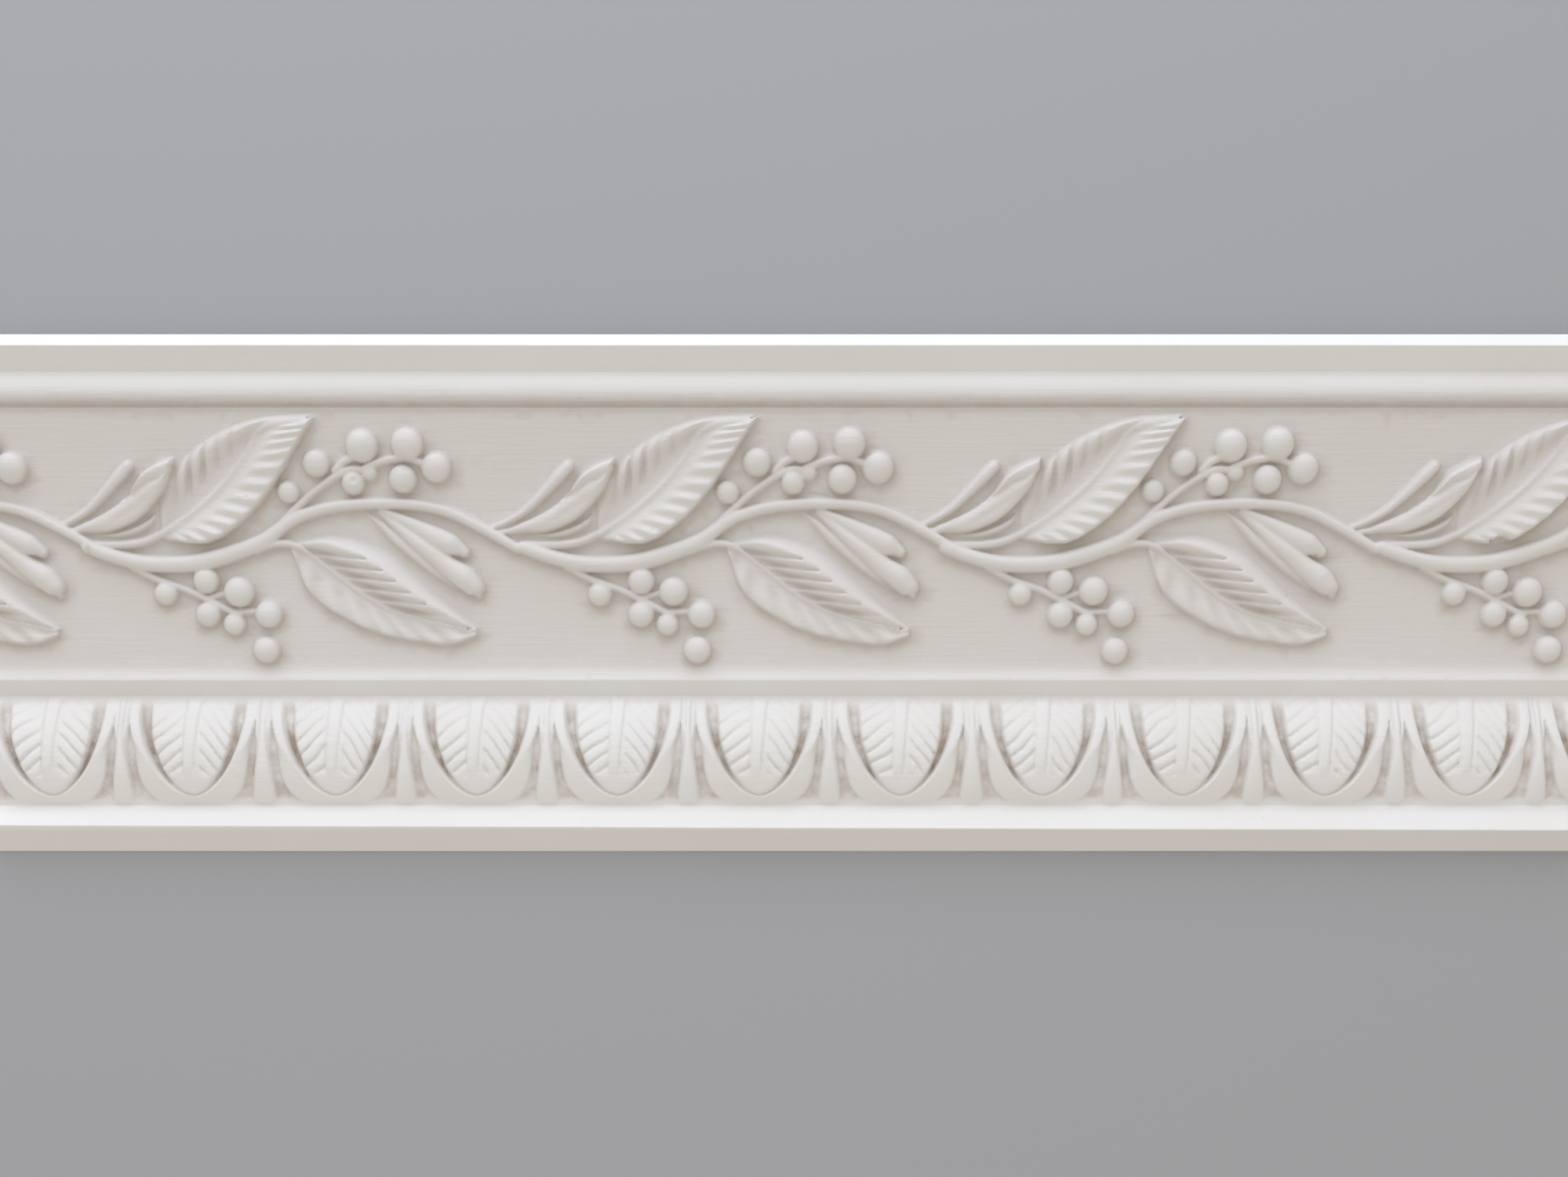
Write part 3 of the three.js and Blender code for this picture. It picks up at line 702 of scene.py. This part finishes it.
def plainWaves(x, girth):
    # The run was drawn by hand with a template, so its members wander by a hair.
    return (0.10 * softNoise(x, girth, (46, 23), 3) + 0.05 * softNoise(x, girth, (13, 9), 4)
            + 0.03 * softNoise(x, girth, (3.4, 2.4), 8))


def frontPlaces(x, girth, relief):
    u, w = slopePlace(girth, walk)
    gx, gs = np.meshgrid(x, girth)
    w = w[:, None] + plainWaves(gx, gs) + relief
    u = u[:, None] + 0.06 * softNoise(gx, gs, (60, 40), 6)
    # the foot fascia is a little taller at the right end than at the left
    tent = np.interp(girth, [marks["footFascia"], marks["footSoffit"], marks["end"]], [0, 1, 0])
    lower = (tent[:, None] * profile["footTaper"] * gx / 240) * root2
    return roomPlace(gx, u + lower, w + lower)


# Specks in the paint, and nicks in the lip: how many, between which places beside a member, how
# large, and whether they stand out or in.
specks = [
    (46, ("band", -0.6), ("band", 1.2), 0.42, 1),
    (40, ("band", 21), ("band", 33), 0.36, 1),
    (26, ("frieze", 8), ("lip", -2), 0.34, 1),
    (9, ("fillet", -0.5), ("fillet", 0.2), 0.42, -1),
]

# Where grime, painted shade and painted shadow darken the paint: widths in millimetres, and shares of the
# full tint.
grimeAndShadeShares = {
    "hollow": {"depth": 1.6, "band": 0.28, "frieze": 0.14},
    "sunkenDarkeningShare": 0.7,
    "crease": {"above": 4.2, "below": 1.9, "grimeAndShade": 0.12},
    "frieze": 0.47,
    "raised": (0.8, 3.0),
    "ledgeShadow": {"depth": 2.5, "frieze": 0.8, "band": 0.2, "grimeAndShade": 0.2},
    "footSoffit": 0.3,
}


def reliefGrid(x, fine, onFrieze, onBand):
    # All the carving and its accidents, as heights out of the slope, and how much the band's channels and
    # pockets are painted darker.
    u, bedOut = slopePlace(fine, walk)
    relief = np.zeros((len(fine), len(x)))
    relief[onFrieze] = friezeRelief(x, u[onFrieze] - friezeHead)
    relief[onBand], sunkenDarkening = bandRelief(x, u[onBand], bedOut[onBand])
    depth, width = profile["quirk"]
    relief -= depth * np.exp(-((fine - marks["frieze"]) / width) ** 2)[:, None]
    for count, (above, first), (below, last), size, sign in specks:
        relief += sign * crumbs(x, fine, count, (marks[above] + first, marks[below] + last), size)
    return blur(relief, grid["soften"]), sunkenDarkening


def creaseShare(girth):
    # 1 in the crease over the frieze, fading wider up the roll than down the frieze.
    away = girth - marks["frieze"]
    return np.exp(-(away / np.where(away < 0, grimeAndShadeShares["crease"]["above"], grimeAndShadeShares["crease"]["below"])) ** 2)


def grimeAndShadeMasks(relief, sunkenDarkening, fine, onFrieze, onBand):
    s = grimeAndShadeShares
    raised = smoothStep(*s["raised"], relief)
    crease = creaseShare(fine)[:, None]
    # painted shade, in the grime tint, lies where the surface is below its surroundings
    share = np.where(onBand, s["hollow"]["band"], s["hollow"]["frieze"])[:, None]
    grimeAndShade = np.clip((blur(relief, 4) - relief) / s["hollow"]["depth"], 0, 1) * share
    # the channels and pockets of the band are painted darker
    grimeAndShade[onBand] = np.clip(grimeAndShade[onBand] + s["sunkenDarkeningShare"] * sunkenDarkening, 0, 1)
    # painted shade in the crease over the frieze
    grimeAndShade = np.clip(grimeAndShade + s["crease"]["grimeAndShade"] * crease, 0, 1)
    # the frieze is painted darker than the members around it, its raised carving less so
    below = smoothStep(marks["frieze"] - 2, marks["frieze"], fine)
    dullAndShade = below * (1 - smoothStep(marks["lip"] - 2, marks["lip"] + 3, fine))
    dullAndShade = s["frieze"] * dullAndShade[:, None] * (1 - 0.45 * raised)
    # painted shadow greys what lies just below and right of a ledge of the carving
    shadowUnderLedge = np.zeros_like(relief)
    shadowUnderLedge[4:, 3:] = np.maximum(relief[:-4, 3:], relief[1:-3, :-3]) - relief[4:, 3:]
    shadowUnderLedge = blur(np.clip(shadowUnderLedge / s["ledgeShadow"]["depth"], 0, 1), 2.4) * (1 - 0.8 * raised)
    share = np.where(onFrieze, s["ledgeShadow"]["frieze"], s["ledgeShadow"]["band"])[:, None]
    # the crease gets painted shade and the ground under ledges gets painted shadow
    dullAndShade = np.clip(dullAndShade + crease + share * shadowUnderLedge, 0, 1)
    grimeAndShade = np.clip(grimeAndShade + np.where(onFrieze, s["ledgeShadow"]["grimeAndShade"], 0)[:, None] * shadowUnderLedge, 0, 1)
    return {"grimeAndShade": grimeAndShade, "dullAndShade": dullAndShade}


def backPlaces(x):
    # The inner edges of the two beds, with the splay between them.
    u = np.array([profile["ceilingBed"] * root2, (projection + drop - profile["wallBed"]) * root2])
    w = np.array([-profile["ceilingBed"] * root2, (drop - profile["wallBed"] - projection) * root2])
    return roomPlace(*np.broadcast_arrays(x, u[:, None], w[:, None]))


def quads(rows):
    return np.stack([rows[:-1, :-1], rows[1:, :-1], rows[1:, 1:], rows[:-1, 1:]], -1).reshape(-1, 4)


def stitch(coarseRow, fineRow, flip):
    # One face spans a coarse step and the fine steps beside it.
    start = np.arange(len(coarseRow) - 1)
    beside = fineRow[start[:, None] * grid["coarse"] + np.arange(grid["coarse"] + 1)]
    faces = np.concatenate([coarseRow[1:, None], coarseRow[:-1, None], beside], 1)
    return faces[:, ::-1] if flip else faces


def closedMesh(blocks):
    # One mesh of the grids of the top, the carving, the foot and the back, with its sawn ends.
    sizes = [block.shape[0] * block.shape[1] for block in blocks]
    starts = np.cumsum([0] + sizes)
    top, carved, foot, back = [np.arange(size).reshape(block.shape[:2]) + start
                               for block, size, start in zip(blocks, sizes, starts)]
    front = [quads(carved), quads(top), quads(foot), stitch(top[-1], carved[0], False),
             stitch(foot[0], carved[-1], True)]
    faces = [face for group in front for face in group.tolist()]
    counts = [len(faces)]
    faces += quads(np.stack([foot[-1], back[1], back[0], top[0]])).tolist()
    left, right = [[row for block in (top, carved, foot) for row in block[:, column]]
                   + [back[1, column], back[0, column]] for column in (0, -1)]
    faces += [left[::-1], right]
    counts.append(len(faces) - counts[0])
    data = bpy.data.meshes.new("corniceCasting")
    places = np.concatenate([block.reshape(-1, 3) for block in blocks]) * mm
    data.from_pydata(places.tolist(), [], faces)
    data.polygons.foreach_set("material_index", np.repeat([0, 1], counts))
    data.polygons.foreach_set("use_smooth", np.repeat([True, False], counts))
    data.update()
    return data, carved, sum(len(face) - 2 for face in faces)


def thinnedPiece(data, carved, fine, triangles):
    # Thins the carved grid where it is plain, and leaves its borders and main creases alone.
    piece = bpy.data.objects.new("corniceCasting", data)
    bpy.context.scene.collection.objects.link(piece)
    group = piece.vertex_groups.new(name="carved")
    inner = np.arange(1, len(fine) - 1)
    crease = [np.abs(fine[inner] - marks[name]) < 0.5 for name in ("band", "footFascia", "frieze")]
    group.add(carved[inner[~np.any(crease, 0)], 1:-1].ravel().tolist(), 1.0, "REPLACE")
    thin = piece.modifiers.new("thin", "DECIMATE")
    thin.ratio = min(1, grid["triangles"] / triangles)
    thin.vertex_group = "carved"
    bpy.context.view_layer.update()
    evaluated = piece.evaluated_get(bpy.context.evaluated_depsgraph_get())
    thinned = bpy.data.meshes.new_from_object(evaluated)
    piece.modifiers.clear()
    piece.vertex_groups.clear()
    piece.data = thinned
    thinned.name = "corniceCasting"
    bpy.data.meshes.remove(data)
    return piece


def dressVertices(data, surface, x, fine, masks):
    # Puts the masks and the normals of the fine grid on the thinned mesh, so that it shades as
    # smoothly as the carving. The underside of the roll is painted darker towards the crease, as painted
    # shade and some dirt, and the foot soffit is painted darker as painted shade.
    spots = np.empty(len(data.vertices) * 3)
    data.vertices.foreach_get("co", spots)
    spots = spots.reshape(-1, 3) / mm
    slopeU = (projection + spots[:, 1] + drop - profile["wallBed"] / 2 - spots[:, 2]) * root2
    u = slopePlace(fine, walk)[0]
    row = np.clip(np.interp(slopeU, u, np.arange(len(u))), 0, len(u) - 1.001)
    column = np.clip((spots[:, 0] - x[0]) / (x[-1] - x[0]) * (len(x) - 1), 0, len(x) - 1.001)
    inside = (slopeU > u[0]) & (slopeU < u[-1])
    r, c = row.astype(int), column.astype(int)
    fr, fc = row - r, column - c

    def atSpots(values):
        # Grid values read between its rows and columns.
        shape = (-1,) + (1,) * (values.ndim - 2)
        a, b = fr.reshape(shape), fc.reshape(shape)
        upper = values[r, c] * (1 - b) + values[r, c + 1] * b
        return upper * (1 - a) + (values[r + 1, c] * (1 - b) + values[r + 1, c + 1] * b) * a

    girth = np.interp(slopeU, slopePlace(along, walk)[0], along)
    # painted shade, and some dirt, on the underside of the roll towards the crease
    rollUndersideShade = creaseShare(girth) * (girth < marks["frieze"])
    # painted shade on the foot soffit
    foot = smoothStep(marks["footSoffit"], marks["footSoffit"] + 1.5, girth)
    plain = {"grimeAndShade": grimeAndShadeShares["crease"]["grimeAndShade"] * rollUndersideShade, "dullAndShade": rollUndersideShade + grimeAndShadeShares["footSoffit"] * foot}
    for name, values in masks.items():
        attribute = data.attributes.new(name, "FLOAT", "POINT")
        values = np.where(inside, atSpots(values), plain[name])
        attribute.data.foreach_set("value", values.astype(np.float32))

    unit = lambda vectors: vectors / np.linalg.norm(vectors, axis=-1, keepdims=True)
    normals = np.cross(np.gradient(surface, axis=1), np.gradient(surface, axis=0))
    normals *= np.sign((normals @ np.array([0, -1, -1]))[..., None])
    normals = unit(atSpots(unit(normals)))
    corner = np.empty(len(data.loops), np.int32)
    data.loops.foreach_get("vertex_index", corner)
    finish, sides = np.empty((2, len(data.polygons)), np.int32)
    data.polygons.foreach_get("material_index", finish)
    data.polygons.foreach_get("loop_total", sides)
    kept = inside[corner] & (np.repeat(finish, sides) == 0)
    data.normals_split_custom_set(np.where(kept[:, None], normals[corner], 0))
    return int((sides - 2).sum())


def corniceCasting():
    length = profile["length"]
    count = int(round(length / grid["spacing"] / grid["coarse"])) * grid["coarse"]
    fineX = np.linspace(-length / 2, length / 2, count + 1)
    coarseX = fineX[::grid["coarse"]]
    top, fine, foot = frontRows()
    onFrieze = (fine > marks["frieze"]) & (fine < marks["lip"] + 3)
    onBand = (fine > marks["band"]) & (fine < marks["footFascia"])
    relief, sunkenDarkening = reliefGrid(fineX, fine, onFrieze, onBand)
    print("relief carved:", relief.shape, "highest", round(float(relief.max()), 2), "mm")
    blocks = [frontPlaces(coarseX, top, 0), frontPlaces(fineX, fine, relief),
              frontPlaces(coarseX, foot, 0), backPlaces(coarseX)]
    # the outermost rows lie in the planes of the beds
    blocks[0][0, :, 1:] = roomPlace(0, np.array(0.0), np.array(0.0))[1:]
    blocks[2][-1, :, 1:] = 0, -profile["wallBed"] / 2
    data, carved, triangles = closedMesh(blocks)
    piece = thinnedPiece(data, carved, fine, triangles)
    left = dressVertices(piece.data, blocks[1], fineX, fine,
                         grimeAndShadeMasks(relief, sunkenDarkening, fine, onFrieze, onBand))
    print("casting meshed:", triangles, "triangles thinned to", left)
    return piece


cornice = corniceCasting()


# Node groups that the two finishes are put together from.
def newGroup(name, inputs, outputs):
    group = bpy.data.node_groups.new(name, "ShaderNodeTree")
    for label, kind, value in inputs:
        socket = group.interface.new_socket(label, in_out="INPUT", socket_type=kind)
        if value is not None:
            socket.default_value = value
    for label, kind in outputs:
        group.interface.new_socket(label, in_out="OUTPUT", socket_type=kind)
    return group, group.nodes.new("NodeGroupInput"), group.nodes.new("NodeGroupOutput")


def feed(tree, socket, value):
    # Links a socket, or sets its plain value.
    if hasattr(value, "links"):
        tree.links.new(value, socket)
    else:
        socket.default_value = value


def mathNode(tree, operation, *values, clamp=False):
    node = tree.nodes.new("ShaderNodeMath")
    node.operation = operation
    node.use_clamp = clamp
    for slot, value in enumerate(values):
        feed(tree, node.inputs[slot], value)
    return node.outputs[0]


def mixNode(tree, factor, a, b):
    node = tree.nodes.new("ShaderNodeMix")
    node.data_type = "RGBA"
    for label, value in (("Factor", factor), ("A", a), ("B", b)):
        feed(tree, node.inputs[label], value)
    return node.outputs["Result"]


def noiseNode(tree, coordinates, scale, stretch=(1, 1, 1), detail=2.0, roughness=0.5):
    mapping = tree.nodes.new("ShaderNodeMapping")
    mapping.inputs["Scale"].default_value = stretch
    tree.links.new(coordinates, mapping.inputs["Vector"])
    noise = tree.nodes.new("ShaderNodeTexNoise")
    noise.inputs["Scale"].default_value = scale
    noise.inputs["Detail"].default_value = detail
    noise.inputs["Roughness"].default_value = roughness
    tree.links.new(mapping.outputs[0], noise.inputs["Vector"])
    return noise.outputs["Fac"]


def brushMarks():
    # Long streaks along the run, broken up by a slower noise.
    group, given, made = newGroup("brushMarks", [("Vector", "NodeSocketVector", None),
                                                 ("Depth", "NodeSocketFloat", 1.0)],
                                  [("Height", "NodeSocketFloat")])
    vector = given.outputs["Vector"]
    streaks = noiseNode(group, vector, scale=900, stretch=(0.06, 1, 1), detail=3.0)
    lumps = noiseNode(group, vector, scale=120, stretch=(0.5, 1, 1))
    height = mathNode(group, "MULTIPLY", mathNode(group, "MULTIPLY", streaks, lumps), given.outputs["Depth"])
    group.links.new(height, made.inputs["Height"])
    return group


def castGrain():
    # Fine plaster grain with a scatter of pinholes where a cell's centre is very near.
    group, given, made = newGroup("castGrain", [("Vector", "NodeSocketVector", None),
                                                ("Grain", "NodeSocketFloat", 1.0),
                                                ("Pinholes", "NodeSocketFloat", 1.0)],
                                  [("Height", "NodeSocketFloat")])
    vector = given.outputs["Vector"]
    grain = noiseNode(group, vector, scale=1500, detail=3.0)
    cells = group.nodes.new("ShaderNodeTexVoronoi")
    cells.inputs["Scale"].default_value = 95
    group.links.new(vector, cells.inputs["Vector"])
    away = mathNode(group, "MULTIPLY", cells.outputs["Distance"], 14.0)
    near = mathNode(group, "SUBTRACT", 1.0, away, clamp=True)
    rare = mathNode(group, "GREATER_THAN", noiseNode(group, vector, scale=60), 0.58)
    pits = mathNode(group, "MULTIPLY", mathNode(group, "MULTIPLY", near, rare), given.outputs["Pinholes"])
    height = mathNode(group, "SUBTRACT", mathNode(group, "MULTIPLY", grain, given.outputs["Grain"]), pits)
    group.links.new(height, made.inputs["Height"])
    return group


def settledGrime():
    # Mixes the clean colour towards the grime and painted shade colour where a mask says so, in uneven
    # patches.
    group, given, made = newGroup("settledGrime", [("Vector", "NodeSocketVector", None),
                                                   ("Clean", "NodeSocketColor", (1, 1, 1, 1)),
                                                   ("Grime", "NodeSocketColor", (0, 0, 0, 1)),
                                                   ("Mask", "NodeSocketFloat", 0.0)],
                                  [("Color", "NodeSocketColor")])
    patches = noiseNode(group, given.outputs["Vector"], scale=210, detail=3.0, roughness=0.6)
    patchy = mathNode(group, "MULTIPLY_ADD", patches, 2.4, -0.55, clamp=True)
    amount = mathNode(group, "MULTIPLY", patchy, given.outputs["Mask"], clamp=True)
    mixed = mixNode(group, amount, given.outputs["Clean"], given.outputs["Grime"])
    group.links.new(mixed, made.inputs["Color"])
    return group


effects = {"brush": brushMarks(), "grain": castGrain(), "grimeAndShade": settledGrime()}


def groupNode(tree, group, **values):
    node = tree.nodes.new("ShaderNodeGroup")
    node.node_tree = group
    for label, value in values.items():
        feed(tree, node.inputs[label], value)
    return node


def newFinish(name):
    material = bpy.data.materials.new(name)
    material.use_nodes = True
    tree = material.node_tree
    vector = tree.nodes.new("ShaderNodeTexCoord").outputs["Object"]
    return material, tree, tree.nodes["Principled BSDF"], vector


def bumpOnto(tree, shader, height, distance):
    bump = tree.nodes.new("ShaderNodeBump")
    bump.inputs["Distance"].default_value = distance
    tree.links.new(height, bump.inputs["Height"])
    tree.links.new(bump.outputs["Normal"], shader.inputs["Normal"])


# The dull and grime colours stand for painted shade and painted shadow as well as dulling and grime.
paint = {
    "light": (0.83, 0.815, 0.79, 1),
    "warm": (0.80, 0.775, 0.735, 1),
    "dullAndShade": (0.62, 0.575, 0.535, 1),
    "grimeAndShade": (0.40, 0.305, 0.225, 1),
    "roughness": 0.62,
    "brushDepth": 1.3,
    "grain": 0.16,
    "pinholes": 0.7,
    "bump": 0.00024,
}


def paintedPlaster():
    material, tree, shader, vector = newFinish("paintedPlaster")
    tone = noiseNode(tree, vector, scale=22, detail=3.0)
    patches = mathNode(tree, "MULTIPLY_ADD", tone, 1.6, -0.4, clamp=True)
    masks = {}
    for name in ("dullAndShade", "grimeAndShade"):
        node = tree.nodes.new("ShaderNodeAttribute")
        node.attribute_name = name
        masks[name] = node.outputs["Fac"]
    coat = mixNode(tree, patches, paint["light"], paint["warm"])
    # painted shade and shadow, with dulling and grime, darken the coat where the masks say
    dulledAndShaded = mixNode(tree, masks["dullAndShade"], coat, paint["dullAndShade"])
    grimedAndShaded = groupNode(tree, effects["grimeAndShade"], Vector=vector, Clean=dulledAndShaded, Grime=paint["grimeAndShade"],
                      Mask=masks["grimeAndShade"])
    tree.links.new(grimedAndShaded.outputs["Color"], shader.inputs["Base Color"])
    brush = groupNode(tree, effects["brush"], Vector=vector, Depth=paint["brushDepth"])
    grain = groupNode(tree, effects["grain"], Vector=vector, Grain=paint["grain"], Pinholes=paint["pinholes"])
    height = mathNode(tree, "ADD", brush.outputs["Height"], grain.outputs["Height"])
    bumpOnto(tree, shader, height, paint["bump"])
    rough = mathNode(tree, "MULTIPLY_ADD", tone, 0.2, paint["roughness"] - 0.1)
    tree.links.new(rough, shader.inputs["Roughness"])
    return material


bare = {
    "light": (0.80, 0.785, 0.75, 1),
    "dark": (0.70, 0.68, 0.635, 1),
    "roughness": 0.85,
    "grain": 0.5,
    "pinholes": 1.2,
    "bump": 0.0005,
}


def barePlaster():
    # The sawn ends and the bedding faces were never painted.
    material, tree, shader, vector = newFinish("barePlaster")
    tone = noiseNode(tree, vector, scale=35, detail=4.0, roughness=0.6)
    patches = mathNode(tree, "MULTIPLY_ADD", tone, 2.0, -0.5, clamp=True)
    tree.links.new(mixNode(tree, patches, bare["light"], bare["dark"]), shader.inputs["Base Color"])
    grain = groupNode(tree, effects["grain"], Vector=vector, Grain=bare["grain"], Pinholes=bare["pinholes"])
    bumpOnto(tree, shader, grain.outputs["Height"], bare["bump"])
    shader.inputs["Roughness"].default_value = bare["roughness"]
    return material


cornice.data.materials.append(paintedPlaster())
cornice.data.materials.append(barePlaster())
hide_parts("cornice_moulding")
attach(cornice, "root")
print("finishes made")

# The camera looks square at the slope from below. The middle of the view is given along the
# length, down the slope and out of it, and the sheets by how far out of the slope they are, in
# millimetres. Lamps stand right of, above and in front of the middle, in metres.
studio = {
    "middle": (0, 75.4, -17),
    "distance": 0.83,
    "lens": 62.9,
    "sheetSize": 3000,
    "sheetOverlap": (3, 2),
    "sheetAbove": -4.5,
    "sheetBelow": -37.0,
    "sheetSlant": 0.6,
    "sheet": (0.38, 0.382, 0.39, 1),
    "ambient": (1.0, 0.942, 0.868),
    "ambientStrength": 0.65,
    "lampSize": (1.5, 0.8),
    "lamps": {
        "key": {"place": (-0.16, 1.0, 0.58), "colour": (0.9, 0.82, 1.0), "power": 5.0},
        "rake": {"place": (-0.2, 1.12, 0.3), "colour": (0.64, 0.88, 1.0), "power": 5.2},
        "front": {"place": (-0.2, 0.68, 0.9), "colour": (0.6, 0.8, 1.0), "power": 3.5},
        "bounce": {"place": (0.1, -0.9, 0.5), "colour": (0.8, 0.88, 1.0), "power": 1.1},
    },
}
x, u, w = studio["middle"]
middle = Vector(roomPlace(x, np.array(u), np.array(w)) * mm)
pictureUp = Vector((0, -root2, root2))
towards = Vector((0, -root2, -root2))


def onPicture(right, up, near):
    return middle + Vector((right, 0, 0)) + pictureUp * up + towards * near


def backdrop():
    # Two large sheets parallel to the picture, close behind the top and the bottom edge. Their
    # backs and slanting looks pass through them, so they don't hide the cornice from elsewhere.
    size = studio["sheetSize"]
    top, end = studio["sheetOverlap"][0], projection * root2 + drop * root2 - studio["sheetOverlap"][1]
    above = [(-size, -size), (size, -size), (size, top), (-size, top)]
    below = [(-size, end), (size, end), (size, size), (-size, size)]
    corners = [roomPlace(x, np.array(float(u)), np.array(studio[name])) * mm
               for name, places in (("sheetAbove", above), ("sheetBelow", below)) for x, u in places]
    data = bpy.data.meshes.new("backdrop")
    data.from_pydata([tuple(corner) for corner in corners], [], [(3, 2, 1, 0), (7, 6, 5, 4)])
    sheet = bpy.data.objects.new("backdrop", data)
    bpy.context.scene.collection.objects.link(sheet)
    material = bpy.data.materials.new("greySheet")
    material.use_nodes = True
    tree = material.node_tree
    shader = tree.nodes["Principled BSDF"]
    shader.inputs["Base Color"].default_value = studio["sheet"]
    shader.inputs["Roughness"].default_value = 0.9
    clear = tree.nodes.new("ShaderNodeBsdfTransparent")
    mix = tree.nodes.new("ShaderNodeMixShader")
    slant = tree.nodes.new("ShaderNodeLayerWeight")
    slant.inputs["Blend"].default_value = 0.5
    grazing = mathNode(tree, "GREATER_THAN", slant.outputs["Facing"], studio["sheetSlant"])
    behind = tree.nodes.new("ShaderNodeNewGeometry").outputs["Backfacing"]
    tree.links.new(mathNode(tree, "MAXIMUM", grazing, behind), mix.inputs[0])
    tree.links.new(shader.outputs[0], mix.inputs[1])
    tree.links.new(clear.outputs[0], mix.inputs[2])
    tree.links.new(mix.outputs[0], tree.nodes["Material Output"].inputs["Surface"])
    data.materials.append(material)


def lightAndCamera():
    scene = bpy.context.scene
    scene.view_settings.view_transform = "Standard"
    world = bpy.data.worlds.new("studio")
    world.use_nodes = True
    world.node_tree.nodes["Background"].inputs["Color"].default_value = (*studio["ambient"], 1)
    world.node_tree.nodes["Background"].inputs["Strength"].default_value = studio["ambientStrength"]
    scene.world = world
    for name, lamp in studio["lamps"].items():
        light = bpy.data.lights.new(name, "AREA")
        light.shape = "RECTANGLE"
        light.size, light.size_y = studio["lampSize"]
        light.energy = lamp["power"]
        light.color = lamp["colour"]
        stand = bpy.data.objects.new(name, light)
        stand.location = onPicture(*lamp["place"])
        stand.rotation_euler = (middle - stand.location).to_track_quat("-Z", "Y").to_euler()
        scene.collection.objects.link(stand)
    lens = bpy.data.cameras.new("camera")
    lens.sensor_width = 36
    lens.lens = studio["lens"]
    camera = bpy.data.objects.new("camera", lens)
    camera.location = onPicture(0, 0, studio["distance"])
    camera.rotation_euler = (math.radians(135), 0, 0)
    scene.collection.objects.link(camera)
    scene.camera = camera


backdrop()
lightAndCamera()
print("studio set")
